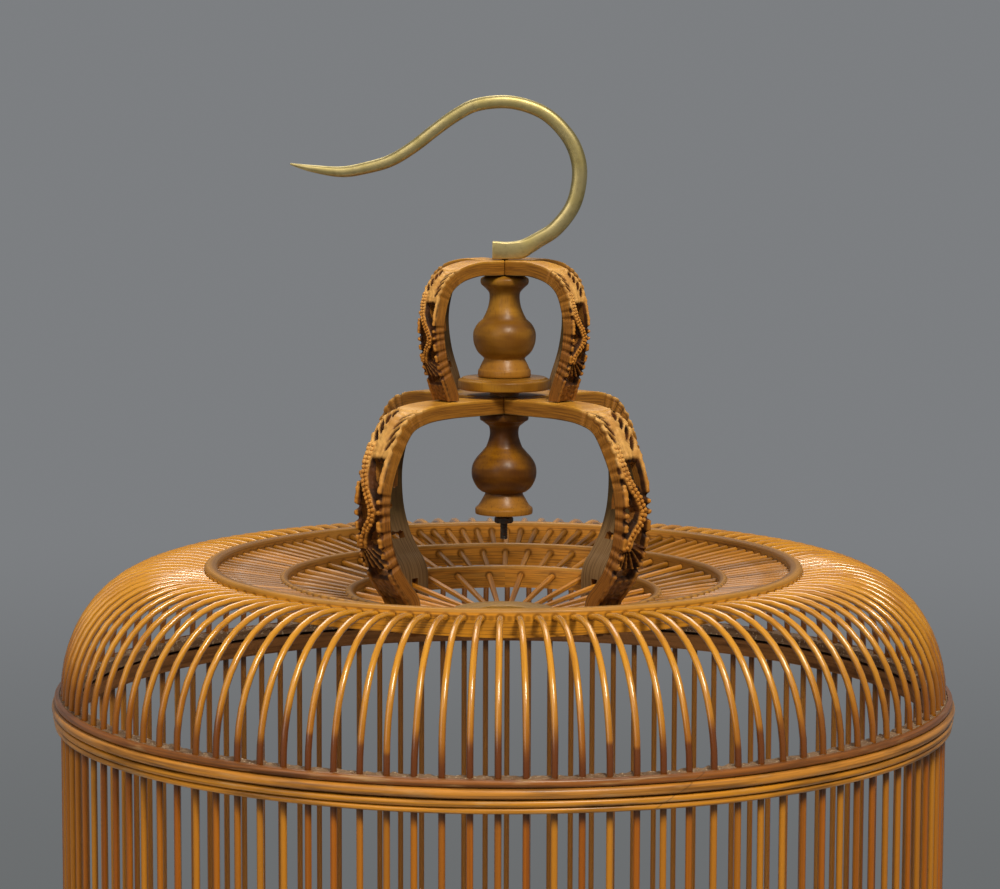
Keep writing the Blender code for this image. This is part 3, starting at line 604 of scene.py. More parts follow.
# Slanting lines where the ends of a lath overlap
def scarfLines(finish, settings):
    angle, height = finish.roundTheCage()
    lines = 0.0
    for turn, lean in settings["scarfs"]:
        shifted = angle - turn - (height - shoulderTop) * (9 * lean)
        lines = finish.sums("MAXIMUM", lines, finish.step(abs(shifted), *settings["scarfHalf"], 1.0, 0.0))
    return lines


# edges: the top, the line between the upper and the lower colour, and the bottom
def makeHoopFinish(name, settings, upper, lower, edges):
    finish = Finish(name, roughness=0.38, specular=0.35, coat=0.25, coatRoughness=0.25)
    height = finish.split(finish.place())[2]
    lowerShare = finish.step(height, edges[1] - 0.0002, edges[1] + 0.0002, 1.0, 0.0)
    base = finish.blend(lowerShare, settings[upper], settings[lower])
    made, fine = hoopStreaks(finish, cage["barCircle"], settings, base, settings["dark"])
    worn = finish.step(finish.grain(finish.stretch(finish.place(), (55.0, 55.0, 500.0))), 0.55, 0.75)
    made = finish.blend(worn * settings["wornShare"], made, settings["pale"])
    # painted shade: darker bands at the hoop's top, at the line between its two colours and at its bottom, where it
    # meets the pieces round it
    shadeHalf, shadeSoft, shadeShare = settings["grooveShade"]
    for edge in edges:
        grooveShade = finish.step(abs(height - edge), shadeHalf, shadeSoft, shadeShare, 0.0)
        made = finish.blend(grooveShade, made, settings["dark"])
    finish.colour(finish.blend(scarfLines(finish, settings) * 0.45, made, settings["dark"]))
    finish.roughness(finish.step(fine, 0.3, 0.8, 0.3, 0.52))
    finish.bump(fine, 0.00015, 0.6)
    return finish.material


def makeLathFinish(settings, slit):
    finish = Finish("chipped_lath", roughness=0.7, specular=0.25)
    chips = finish.grain(finish.place(), 900.0, 4.0)
    height = finish.split(finish.place())[2]
    high, low = (shoulderTop - edge for edge in slit)
    # the lath under the slit takes its own brown lightened as painted light, against the shade it stands in
    upper, lower = (hoopStreaks(finish, cage["barCircle"], settings, settings[tone], settings["dark"])[0]
                    for tone in ("rough", "underLathPaintedLight"))
    made = finish.blend(finish.step(chips, 0.58, 0.68), upper, settings["chip"])
    made = finish.blend(finish.step(height, low, high, 1.0, 0.0), made, lower)
    # painted shade: the slit inside the lath is coloured near black
    middle, half = (high + low) / 2, (high - low) / 2
    black = finish.step(abs(height - middle), half - 0.0001, half + 0.0001, 1.0, 0.0)
    finish.colour(finish.blend(black, made, settings["slit"]))
    finish.bump(chips, 0.0004, 0.7)
    return finish.material


# Hoops of a given section, bent round the cage. The section is a closed loop of (radius, height).
def bentHoop(name, section, around, ripple=None):
    count = len(section)

    def placeAt(u, v):
        radius, height = section[round(v * count) % count]
        turn = 2 * pi * u
        if ripple:
            radius, height = ripple(turn, radius, height)
        return polar(radius, turn, height)

    hoop = shapedGrid(name, around, count, placeAt)
    weldAndTurnOut(hoop)
    return hoop


# Half-round strand: points from its top to its bottom on the outer side
def roundedFlank(inner, outer, top, bottom, steps=6):
    middle, half = (top + bottom) / 2, (top - bottom) / 2
    return [(inner + (outer - inner) * cos(pi * (step / steps - 0.5)) ** 0.6, middle + half * cos(pi * step / steps))
            for step in range(steps + 1)]


# Shoulder: the strands outside the bars, the double bead under them and the chipped lath inside
shoulderSettings = {
    "around": 336,
    "lathAround": 1120,
    "lathBore": 0.1719,
    "lathOuter": 0.1784,
    "lathDepth": 0.0125,
    "slit": (0.0044, 0.0056),     # inside the lath, under its top
    "slitDepth": 0.0022,
    "chip": 0.00045,
    "chipWaves": 420.0,           # to a metre, like the other numbers of waves up and down
    "bore": 0.1786,
    "strands": (
        # groove radius, crest radius, top and bottom below the shoulder's top
        (0.1792, 0.1806, 0.0002, 0.0031),
        (0.1797, 0.1816, 0.0033, 0.0070),
    ),
    "beads": (
        (0.1793, 0.1811, 0.0074, 0.0101),
        (0.1791, 0.1806, 0.0102, 0.0125),
    ),
    "wander": 0.00016,
    "waves": (3.2, 90.0),         # round the cage, and up
}


def makeShoulder(settings):
    top = shoulderTop
    waves, upWaves = settings["waves"]

    def wander(turn, radius, height):
        spot = Vector((waves * cos(turn), waves * sin(turn), upWaves * height))
        return (radius + settings["wander"] * noise.noise(spot),
                height + settings["wander"] * noise.noise(spot + Vector((7, 3, 1))))

    def chipped(turn, radius, height):
        if height < top - 0.001:
            return radius, height
        around = settings["chipWaves"] * radius
        spot = Vector((around * cos(turn), around * sin(turn), 0))
        return radius, height - settings["chip"] + 2 * settings["chip"] * noise.noise(spot)

    for name, node, strands, colours in (
            ("shoulder_strands", "shoulder_hoop", settings["strands"], ("brown", "tan")),
            ("shoulder_beads", "shoulder_bead", settings["beads"], ("gold", "gold"))):
        section = []
        for groove, crest, high, low in strands:
            section += roundedFlank(groove, crest, top - high, top - low)
        section += [(settings["bore"], section[-1][1]), (settings["bore"], section[0][1])]
        hoop = bentHoop(name, section, settings["around"], wander)
        smoothShade(hoop, 60)
        edges = (top - strands[0][2], top - (strands[0][3] + strands[1][2]) / 2, top - strands[1][3])
        finishPiece(hoop, "cage", "bamboo_hoops",
                    makeHoopFinish(name + "_finish", hoopFinish, colours[0], colours[1], edges), node)
    bore, outer = settings["lathBore"], settings["lathOuter"]
    slitTop, slitBottom = (top - height for height in settings["slit"])
    section = [(mixed(outer, bore, step / 6), top) for step in range(7)]
    section += [(bore, slitTop), (bore + settings["slitDepth"], slitTop), (bore + settings["slitDepth"], slitBottom),
                (bore, slitBottom), (bore, top - settings["lathDepth"]), (outer, top - settings["lathDepth"])]
    lath = bentHoop("shoulder_lath", section, settings["lathAround"], chipped)
    smoothShade(lath, 30)
    finishPiece(lath, "cage", "bamboo_hoops", makeLathFinish(hoopFinish, settings["slit"]))


makeShoulder(shoulderSettings)
print("shoulder hoops bent")

# Crown: laths on edge with rounded, worn tops, and spokes that step down from hoop to hoop
crownFinish = {
    "top": (0.400, 0.178, 0.020),
    "outside": (0.620, 0.250, 0.016),
    "inside": (0.560, 0.225, 0.026),
    # painted shade on the inner faces at the crown's sides
    "flank": (0.130, 0.050, 0.009),
    "dark": (0.060, 0.020, 0.003),
    "grey": (0.300, 0.165, 0.042),
    "boss": (0.280, 0.160, 0.032),
    "spoke": (0.215, 0.082, 0.004),
    "innerSpoke": (0.420, 0.155, 0.012),
    "tip": (0.520, 0.280, 0.055),
    "pegs": (3.3, (0.1180, 0.1195)),     # millimetres under the top, and where they begin, from the axis
}
crownSettings = {
    "around": 224,
    "hoops": {
        # bore, outer radius, top and depth above the shoulder
        "crown_hoop_outer": (0.1152, 0.1204, 0.0502, 0.0096),
        "crown_hoop_middle": (0.0870, 0.0905, 0.0449, 0.0094),
        "crown_hoop_inner": (0.0605, 0.0642, 0.0391, 0.0092),
    },
    "holes": {
        # outside and inside: bar pitches from hole to hole, share of that at the front, millimetres under the top
        "crown_hoop_outer": ((1.0, 0.0, 3.0), (1.0, 0.0, 3.8)),
        "crown_hoop_middle": ((1.0, 0.0, 1.6), (2.0, 0.0, 3.8)),
        "crown_hoop_inner": ((2.0, 0.0, 1.6), (4.0, 0.5, 3.8)),
    },
    "bossRadius": 0.0213,
    "bossBore": 0.0096,
    "bossTop": 0.0305,
    "bossDepth": 0.0042,
    "bossEdge": 0.0006,
    "bossAround": 72,
    "spokeRadius": 0.00125,
    "spokeDrop": 0.0038,
    "spokeLanding": 0.0016,
    "spokeSink": 0.0008,
    "spokeLean": 0.012,           # radians either way
    "wander": 0.00025,
    "waves": 2.5,
}


# How far the surface is from the nearest of a ring of holes, in millimetres. The holes are so many bar
# pitches apart, and drop is the place of the surface under the hoop's top less that of the holes.
def fromHole(finish, radius, angle, every, offset, drop):
    pitch = every * barPitch
    share = finish.sums("FRACT", angle / pitch + 0.5 - offset) - 0.5
    across = share * pitch * (radius / millimetre)
    return finish.sums("SQRT", across * across + drop * drop)


def makeCrownFinish(settings):
    finish = Finish("crown_lath", roughness=0.42, specular=0.25)
    side, drop, every = finish.attribute("side"), finish.attribute("drop"), finish.attribute("every")
    across, radius = finish.split(finish.place())[0], finish.fromAxis()
    angle, height = finish.roundTheCage()
    strand = height + radius
    streaks = finish.grain(finish.gather(angle * 3.0, strand * 1500.0, side), 1.0, 4.0)
    broad = finish.grain(finish.gather(angle * 2.2, strand * 300.0, 5.0))
    outward = finish.step(side, 0.3, 0.7)
    base = finish.blend(outward, settings["inside"], settings["outside"])
    # painted shade: the inner faces darken towards the left and right of the crown
    flank = finish.step(abs(across) / radius, 0.4, 0.85, 0.0, 0.7) * (1.0 - outward)
    crest = finish.step(drop, 0.7, 1.7, 1.0, 0.0)
    base = finish.blend(crest, base, settings["top"])
    base = finish.blend(flank, base, settings["flank"])
    base = finish.blend(finish.step(broad, 0.5, 0.78) * 0.5, base, settings["grey"])
    base = finish.blend(finish.step(radius, 0.028, 0.032, 0.8, 0.0), base, settings["boss"])
    lines = finish.step(streaks, 0.44, 0.64) * (crest * -0.3 + 0.55)
    base = finish.blend(lines, base, settings["dark"])
    # dark rim of each hole that a bar or a spoke runs in to, painted shade in the gap round it, and the pegs between
    # the bars
    holes = finish.step(fromHole(finish, radius, angle, every, finish.attribute("offset"),
                                 drop - finish.attribute("holeDrop")), 1.2, 2.2, 0.6, 0.0)
    pegDrop, pegStart = settings["pegs"]
    pegs = finish.step(fromHole(finish, radius, angle, 1.0, 0.5, drop - pegDrop), 0.4, 1.5, 0.45, 0.0)
    pegs *= finish.step(side, 0.8, 0.95) * finish.step(radius, *pegStart)
    finish.colour(finish.blend(finish.sums("MAXIMUM", holes, pegs), base, settings["dark"]))
    finish.roughness(finish.step(streaks, 0.3, 0.8, 0.32, 0.55))
    finish.bump(streaks, 0.0002, 0.6)
    return finish.material


def makeSpokeFinish(settings):
    finish = Finish("crown_spoke", roughness=0.42, specular=0.25, coat=0.15, coatRoughness=0.16)
    tone = finish.attribute("tone")
    across, along, _ = finish.split(finish.uv())
    fine = finish.grain(finish.gather(tone * 91.0 + across * 9.0, along * 60.0, tone), 1.0, 4.0)
    base = finish.blend(finish.step(finish.fromAxis(), 0.060, 0.063), settings["innerSpoke"], settings["spoke"])
    base = finish.blend(finish.step(finish.reshuffled(tone, 5.0), 0.0, 1.0, 0.0, 0.55), base, settings["inside"])
    base = finish.blend(finish.step(fine, 0.45, 0.75) * 0.6, base, settings["dark"])
    finish.colour(finish.blend(finish.step(along, 0.0, 0.0028, 1.0, 0.0) * 0.8, base, settings["tip"]))
    finish.bump(fine, 0.00012, 0.5)
    return finish.material


# Section of a lath on edge, its upper corners rounded
def lathSection(bore, outer, top, depth, edge=0.0014):
    bottom = top - depth
    flank = [(0.0, bottom), (0.0, mixed(bottom, top, 0.5)), (0.0, top - edge)]
    flank += [(edge * (1 - cos(pi * step / 8)), top - edge * (1 - sin(pi * step / 8))) for step in (1, 2, 3, 4)]
    return [(bore + inset, height) for inset, height in flank] \
        + [(outer - inset, height) for inset, height in reversed(flank)]


def makeCrown(settings, colours):
    chance = Random(23)
    top, waves = shoulderTop, settings["waves"]
    lathMaterial, spokeMaterial = makeCrownFinish(colours), makeSpokeFinish(colours)
    for name, (bore, outer, rise, depth) in settings["hoops"].items():
        phase = chance.uniform(0, 10)

        def wander(turn, radius, height):
            spot = Vector((waves * cos(turn), waves * sin(turn), phase))
            return (radius + settings["wander"] * noise.noise(spot),
                    height + settings["wander"] * noise.noise(spot + Vector((5, 5, 5))))

        hoop = bentHoop(name.replace("crown_hoop", "crown_lath"), lathSection(bore, outer, top + rise, depth),
                        settings["around"], wander)
        corners = [corner.co for corner in hoop.data.vertices]
        sides = [min(max((hypot(spot.x, spot.y) - bore) / (outer - bore), 0.0), 1.0) for spot in corners]
        outside, inside = settings["holes"][name]
        setAttribute(hoop, "side", sides)
        setAttribute(hoop, "drop", [(top + rise - spot.z) / millimetre for spot in corners])
        for attribute, out, within in zip(("every", "offset", "holeDrop"), outside, inside):
            setAttribute(hoop, attribute, [out if side > 0.5 else within for side in sides])
        smoothShade(hoop, 50)
        finishPiece(hoop, "cage", "bamboo_crown", lathMaterial, name)
    section = lathSection(settings["bossBore"], settings["bossRadius"], top + settings["bossTop"],
                          settings["bossDepth"], settings["bossEdge"])
    boss = bentHoop("boss_ring", section, settings["bossAround"])
    for attribute, value in (("side", 0.5), ("drop", 1.2), ("every", 4.0), ("offset", 0.5), ("holeDrop", 9.0)):
        setAttribute(boss, attribute, value)
    smoothShade(boss, 50)
    finishPiece(boss, "cage", "bamboo_crown", lathMaterial, "crown_boss")
    outerHoop, middleHoop, innerHoop = settings["hoops"].values()
    bossMiddle = settings["bossTop"] - settings["bossDepth"] / 2
    for name, leaves, lands, landing, every, first in (
            ("outer_spokes", outerHoop, middleHoop[1], middleHoop[2] - settings["spokeLanding"], 1, 0),
            ("middle_spokes", middleHoop, innerHoop[1], innerHoop[2] - settings["spokeLanding"], 2, 0),
            ("inner_spokes", innerHoop, settings["bossRadius"], bossMiddle, 4, 2)):
        high = Vector((leaves[0] + settings["spokeSink"], top + leaves[2] - settings["spokeDrop"]))
        low = Vector((lands - settings["spokeSink"], top + landing))
        line = [high.lerp(low, share) for share in (0.0, 0.03, 0.5, 1.0)]
        master = sweptSplint("spoke", line, settings["spokeRadius"], 7, 0.8)
        spokes = []
        for index in range(first, cage["barCount"], every):
            spoke = copyOf(master, "spoke")
            setAttribute(spoke, "tone", chance.random())
            lean = turnAround(chance.uniform(-settings["spokeLean"], settings["spokeLean"]))
            end = Matrix.Translation((0.0, -leaves[0], 0.0))
            spoke.data.transform(turnAround(index * barPitch) @ end @ lean @ end.inverted())
            spokes.append(spoke)
        group = joinAs(name, spokes)
        smoothShade(group, 50)
        finishPiece(group, "cage", "bamboo_crown", spokeMaterial)
        removePiece(master)


makeCrown(crownSettings, crownFinish)
print("crown built")

# Turned pieces: outlines as runs of (radius, height) shares, sharp only where two runs meet
turnedSettings = {
    "steps": 96,
    "bore": 0.0020,
    "baseShare": 0.19,            # of a gourd's height, in its own colour
    "upper_gourd": {
        "belly": 0.0126, "bottom": 0.1253, "height": 0.0406,
        "runs": (((0.50, 1.0), (0.62, 0.992)),
                 ((0.62, 0.992), (0.735, 0.972), (0.765, 0.955), (0.765, 0.925), (0.735, 0.905)),
                 ((0.735, 0.905), (0.60, 0.868), (0.50, 0.83), (0.480, 0.79), (0.490, 0.74), (0.530, 0.68)),
                 ((0.530, 0.68), (0.60, 0.625), (0.70, 0.565)),
                 ((0.70, 0.565), (0.86, 0.52), (0.975, 0.455), (1.0, 0.395), (0.97, 0.32), (0.86, 0.245),
                  (0.70, 0.195)),
                 ((0.70, 0.195), (0.655, 0.180), (0.665, 0.165), (0.74, 0.120), (0.80, 0.075)),
                 ((0.80, 0.075), (0.835, 0.060), (0.845, 0.015), (0.83, 0.0))),
    },
    "lower_gourd": {
        "belly": 0.0131, "bottom": 0.0698, "height": 0.0410,
        "runs": (((0.40, 1.0), (0.72, 1.0)),
                 ((0.72, 1.0), (0.745, 0.985), (0.745, 0.93), (0.68, 0.915)),
                 ((0.68, 0.915), (0.56, 0.885), (0.47, 0.86), (0.44, 0.81), (0.45, 0.76), (0.50, 0.705),
                  (0.56, 0.655)),
                 ((0.56, 0.655), (0.59, 0.645)),
                 ((0.59, 0.645), (0.71, 0.60), (0.85, 0.55), (0.965, 0.485), (1.0, 0.42), (0.985, 0.36),
                  (0.92, 0.305), (0.82, 0.255), (0.69, 0.22)),
                 ((0.69, 0.22), (0.58, 0.205), (0.64, 0.16), (0.78, 0.085), (0.87, 0.06)),
                 ((0.87, 0.06), (0.885, 0.045), (0.885, 0.015), (0.87, 0.0))),
    },
    "upper_disc": {
        "belly": 0.0186, "bottom": 0.1176, "height": 0.0074,
        "runs": (((0.80, 1.0), (0.90, 0.985)),
                 ((0.90, 0.985), (0.945, 0.90)),
                 ((0.945, 0.90), (0.985, 0.87), (1.0, 0.82)),
                 ((1.0, 0.82), (1.0, 0.44)),
                 ((1.0, 0.44), (0.985, 0.38), (0.95, 0.35)),
                 ((0.95, 0.35), (0.60, 0.34)),
                 ((0.60, 0.34), (0.33, 0.33), (0.32, 0.0))),
    },
}
turnedFinish = {
    "upper": ((0.370, 0.168, 0.014), (0.150, 0.056, 0.005)),
    "lower": ((0.270, 0.102, 0.002), (0.064, 0.018, 0.001)),
    "base": (0.320, 0.132, 0.014),
}


def makeTurnedFinish(name, light, dark, settings, baseTop):
    finish = Finish(name, roughness=0.45, specular=0.2, coat=0.06, coatRoughness=0.20)
    x, y, z = finish.split(finish.place())
    figure = finish.grain(finish.gather(x * 38.0, y * 38.0, z * 120.0), distortion=0.4)
    pores = finish.grain(finish.stretch(finish.place(), (1500.0, 1500.0, 160.0)))
    rings = finish.grain(finish.gather(0.0, 0.0, z * 700.0))
    base = finish.blend(finish.step(figure, 0.24, 0.74), light, dark)
    base = finish.blend(finish.step(z, baseTop - 0.0004, baseTop + 0.0004, 0.75, 0.0), base, settings["base"])
    base = finish.blend(finish.step(pores, 0.5, 0.72) * 0.45, base, dark)
    finish.colour(finish.blend(finish.step(rings, 0.5, 0.75) * 0.4, base, dark))
    finish.roughness(finish.step(pores, 0.35, 0.75, 0.36, 0.5))
    finish.bump(pores * 0.5 + rings, 0.00012, 0.5)
    return finish.material


def makeTurnedPieces(settings, colours):
    bore = settings["bore"]
    for name, node, tones, baseShare in (("gourd_upper", "upper_gourd", "upper", settings["baseShare"]),
                                         ("gourd_lower", "lower_gourd", "lower", settings["baseShare"]),
                                         ("disc_upper", "upper_disc", "upper", 0.0)):
        sizes = settings[node]
        bottom = shoulderTop + sizes["bottom"]
        section = []
        for run in sizes["runs"]:
            line = smoothLine(run, 3) if len(run) > 2 else [Vector(point) for point in run]
            section += [(spot.x * sizes["belly"], bottom + spot.y * sizes["height"]) for spot in line]
        section += [(bore, section[-1][1]), (bore, section[0][1])]
        section = [spot for index, spot in enumerate(section) if index == 0 or spot != section[index - 1]]
        piece = bentHoop(name, section, settings["steps"])
        smoothShade(piece, 28)
        finish = makeTurnedFinish(name + "_finish", *colours[tones], colours, bottom + baseShare * sizes["height"])
        finishPiece(piece, "cage", "turned_wood", finish, node)


makeTurnedPieces(turnedSettings, turnedFinish)
print("turned pieces made")

# Carved yokes. The relief is laid out once, in millimetres of the lower yoke: first along the strip from
# the end of its smooth pad, then across it from the middle. The upper yoke has it at two thirds.
carving = {
    "ground": 2.6,                # depth of the carving; heights below are shares of it
    "pull": 1.15,                 # how far a groove draws the strip's edge in
    "knobs": 0.42,                # unevenness of the surface, broad and fine
    "knife": 0.10,
    "halfWidth": 7.5,
    "edgeShare": 0.86,            # of the half width, where the strip's edge begins
    "padBow": (1.8, -0.8),
    "padDepth": (0.12, 0.42),     # in its middle and at its edges
    "railInner": 5.4,
    "railCut": 0.85,              # how far a groove lowers the rail
    "railRound": 0.30,
    "railGrooves": {
        1: (2.5, 7.2, 12.0, 16.8, 21.6, 41.5, 45.8, 50.0, 57.0, 63.4, 68.0, 72.6),
        -1: (0.6, 5.0, 9.6, 14.4, 19.2, 24.0, 30.5, 35.0, 46.5, 51.0, 56.5, 64.0, 68.4, 72.8),
    },
    "grooveEdges": (0.25, 1.75),
    "notches": ((3.5, -4.5, 0.5), (7.9, -4.4, 0.5), (12.6, -4.5, 0.45), (17.5, -4.7, 0.4),
                (5.2, 4.4, -0.6), (9.9, 4.3, -0.55), (14.8, 4.4, -0.5), (19.6, 4.6, -0.45)),
    "notchSize": (3.5, 0.95),
    "veins": (0.08, 1.1),
    "fork": 26.0,
    "ribbon": ((15.0, -4.6), (20.0, -5.0), (26.0, -4.9), (33.0, -4.1), (38.0, -2.2), (43.0, 0.8), (47.5, 2.9),
               (51.5, 1.9), (55.0, -0.9), (59.0, -3.2), (64.0, -4.4)),
    "ribbonHalf": 2.1,
    "ribbonHigh": 0.86,
    "ribbonGroove": 0.28,
    "beads": (21.0, 56.0),        # where the rows start, and where the outer one of the two ends
    "beadPitch": 1.85,
    "beadRadius": 0.86,
    "beadOffset": 0.92,
    "beadSink": 0.0002,           # metres
    "holeStart": 20.0,
    "holes": (
        ((26.6, -1.9), (26.0, -0.2), (27.6, 0.9), (25.8, 2.4), (27.4, 3.3), (27.0, 4.9), (33.0, 5.1), (39.4, 5.0),
         (38.0, 3.6), (35.0, 1.4), (31.0, -0.8)),
        ((40.4, -5.0), (42.0, -3.0), (44.6, -1.6), (47.6, 0.6), (50.4, -0.5), (52.2, -3.0), (51.0, -5.0),
         (46.0, -5.3)),
        ((52.6, 4.6), (54.2, 2.6), (57.0, 0.2), (60.4, -1.2), (62.0, 0.6), (61.4, 3.2), (62.2, 4.6), (57.0, 5.1)),
        ((72.4, -2.4), (73.4, -3.6), (76.8, -3.4), (77.0, 0.0), (76.8, 3.4), (73.4, 3.6), (72.2, 2.2),
         (73.4, 0.2)),
    ),
    "fan": (62.5, 72.0),
    "fanEye": (59.0, -5.5),
    "fanRibs": (0.50, 0.32, 26),  # height, swing and closeness
    "block": 77.4,
    "blockHigh": 0.74,
    "rodGap": 0.0023,             # metres, from the cage's axis to the strip
}
yokeSettings = {
    "lower": {
        "reach": 0.0750, "top": 0.1173, "foot": 0.0270, "width": 0.0150, "thickness": 0.0062, "padEnd": 0.0500,
        "profile": ((0.50, 1.0), (0.68, 0.985), (0.81, 0.94), (0.905, 0.83), (0.97, 0.71), (1.0, 0.58),
                    (0.985, 0.42), (0.925, 0.285), (0.845, 0.19), (0.79, 0.134), (0.785, 0.06), (0.78, 0.0)),
        "rows": 330, "columns": 36,
        "footSlot": (92.5, 112.5, 1.7),      # start, end and half width
    },
    "upper": {
        "reach": 0.0435, "top": 0.1720, "foot": 0.1176, "width": 0.0100, "thickness": 0.0058, "padEnd": 0.0285,
        "profile": ((0.45, 1.0), (0.71, 0.95), (0.885, 0.845), (0.98, 0.665), (1.0, 0.48), (0.95, 0.27),
                    (0.85, 0.08), (0.81, 0.0)),
        "rows": 240, "columns": 30,
        "footSlot": None,
    },
}


def insideDistance(polygon, spot):
    nearest, inside = inf, False
    for a, b in zip(polygon, polygon[1:] + polygon[:1]):
        edge = (b[0] - a[0], b[1] - a[1])
        away = (spot[0] - a[0], spot[1] - a[1])
        share = min(max((away[0] * edge[0] + away[1] * edge[1]) / (edge[0] ** 2 + edge[1] ** 2), 0.0), 1.0)
        nearest = min(nearest, hypot(away[0] - share * edge[0], away[1] - share * edge[1]))
        if (a[1] > spot[1]) != (b[1] > spot[1]) and spot[0] < a[0] + (spot[1] - a[1]) * edge[0] / edge[1]:
            inside = not inside
    return -nearest if inside else nearest


def ribbonMiddle(design, along):
    points = design["ribbon"]
    along = min(max(along, points[0][0]), points[-1][0])
    for (startAlong, start), (endAlong, end) in zip(points, points[1:]):
        if along <= endAlong:
            return mixed(start, end, eased(startAlong, endAlong, along) * 0.5
                         + 0.5 * (along - startAlong) / (endAlong - startAlong))
    return points[-1][1]


# How deep the carving goes at a place, in millimetres, and how far the strip's edge is drawn in
def carvedDepth(design, along, across):
    ground, half = design["ground"], design["halfWidth"]
    side = 1 if across > 0 else -1
    edge = eased(design["edgeShare"], 1.0, abs(across) / half)
    bow, shift = design["padBow"]
    padLine = bow * (1 - (across / half) ** 2) + shift
    groove = 0.0
    for place in design["railGrooves"][side]:
        groove = max(groove, 1 - eased(*design["grooveEdges"], abs(along - place)))
    pull = design["pull"] * groove
    if along < padLine:
        return mixed(*design["padDepth"], edge), 0.0
    raised, cut = 0.0, 1.0
    if along < design["fork"] + 3:
        leaf = 1 - eased(design["fork"] - 1, design["fork"] + 2.5, along)
        vein, waves = design["veins"]
        leaf *= 1 - vein + vein * cos(waves * across)
        for place, middle, lean in design["notches"]:
            forth, over = along - place, across - middle
            turned = (forth * cos(lean) + over * sin(lean), over * cos(lean) - forth * sin(lean))
            away = hypot(turned[0] / design["notchSize"][0], turned[1] / design["notchSize"][1])
            cut *= eased(0.55, 1.25, away)
        raised = leaf * cut
    middle = ribbonMiddle(design, along)
    start, full = (point[0] for point in design["ribbon"][:2])
    if start < along < design["fan"][0] + 1.0:
        away = abs(across - middle)
        band = design["ribbonHigh"] * (1 - eased(design["ribbonHalf"] - 0.25, design["ribbonHalf"] + 0.35, away))
        band *= 1 - design["ribbonGroove"] * (1 - eased(0.0, 0.45, away))
        raised = max(raised, band * eased(start, full, along))
    rail = eased(design["railInner"] - 0.35, design["railInner"] + 0.25, abs(across))
    rail *= (1 - design["railCut"] * groove) * cut
    raised = max(raised, rail * (1 - design["railRound"] * eased(0.90, 1.0, abs(across) / half)))
    first, last = design["fan"]
    if first - 1 < along < last + 1:
        angle = atan2(across - design["fanEye"][1], along - design["fanEye"][0])
        high, swing, closeness = design["fanRibs"]
        ribs = high + swing * sin(closeness * angle)
        raised = max(raised, ribs * eased(first - 1, first + 0.6, along) * (1 - eased(last - 0.4, last + 0.4, along)))
    if along > design["block"] - 1:
        raised = max(raised, design["blockHigh"] * eased(design["block"] - 0.5, design["block"] + 0.2, along))
        pull *= 1 - eased(design["block"] - 2, design["block"], along)
    rough = design["knife"] * noise.noise(Vector((1.3 * along, 1.3 * across, 3.0)))
    rough += design["knobs"] * noise.noise(Vector((0.62 * along, 0.62 * across, 9.0)))
    step = eased(padLine, padLine + 0.6, along)
    return max(0.2 * step + ground * (1 - raised) * step + rough * step, 0.0), pull


# Along the strip: pad, bend, flank and foot. A pair of colours is light and dark grain.
carvedFinish = {
    "pad": (0.540, 0.255, 0.030),
    "bend": (0.640, 0.345, 0.095),
    "flank": (0.500, 0.205, 0.028),
    "foot": (0.280, 0.108, 0.017),
    "stain": (0.300, 0.105, 0.013),
    # near-black pair for painted shade in the carved recesses
    "ground": ((0.022, 0.007, 0.001), (0.090, 0.027, 0.004)),
    "edges": ((0.310, 0.125, 0.013), (0.150, 0.054, 0.007)),
    "lowEdges": ((0.270, 0.098, 0.012), (0.120, 0.040, 0.006)),
    "back": ((0.066, 0.037, 0.009), (0.040, 0.021, 0.005)),
    "backStain": (0.090, 0.056, 0.017),
    "backFoot": ((0.230, 0.132, 0.056), (0.150, 0.080, 0.030)),
    "pores": (0.050, 0.018, 0.004),
}


def makeCarvedFinish(name, colours):
    finish = Finish(name, roughness=0.5, specular=0.2)
    depth, inside, along, across = (finish.attribute(key) for key in ("depth", "inside", "along", "across"))
    fibres = finish.grain(finish.gather(along * 0.05, across * 1.6, inside * 16.0), detail=4.0)
    clouds = finish.grain(finish.place(), 130.0, 4.0)
    high = finish.blend(finish.step(along, -4.0, 0.0), colours["pad"], colours["bend"])
    high = finish.blend(finish.step(along, 18.0, 44.0), high, colours["flank"])
    high = finish.blend(finish.step(along, 58.0, 82.0), high, colours["foot"])
    high = finish.blend(finish.step(clouds, 0.4, 0.7) * 0.5, high, colours["stain"])
    # painted shade: the carving's recesses turn dark as they deepen
    face = finish.blend(finish.step(depth, 0.12, 0.55), high,
                        finish.blend(finish.step(clouds, 0.4, 0.65), *colours["ground"]))
    grained = finish.step(fibres, 0.34, 0.70)
    sides = finish.blend(finish.step(along, 20.0, 60.0), finish.blend(grained, *colours["edges"]),
                         finish.blend(grained, *colours["lowEdges"]))
    face = finish.blend(finish.step(inside, 0.02, 0.2), face, sides)
    grained = finish.step(fibres, 0.36, 0.64)
    back = finish.blend(finish.step(clouds, 0.45, 0.65) * 0.5, finish.blend(grained, *colours["back"]),
                        colours["backStain"])
    back = finish.blend(finish.step(along, 60.0, 76.0) * 0.8, back, finish.blend(grained, *colours["backFoot"]))
    face = finish.blend(finish.step(inside, 0.93, 0.99), face, back)
    finish.colour(finish.blend(finish.step(fibres, 0.5, 0.75) * 0.35, face, colours["pores"]))
    finish.roughness(finish.step(depth, 0.0, 0.8, 0.42, 0.7))
    finish.bump(fibres + clouds * 0.6, 0.0003, 0.6)
    return finish.material


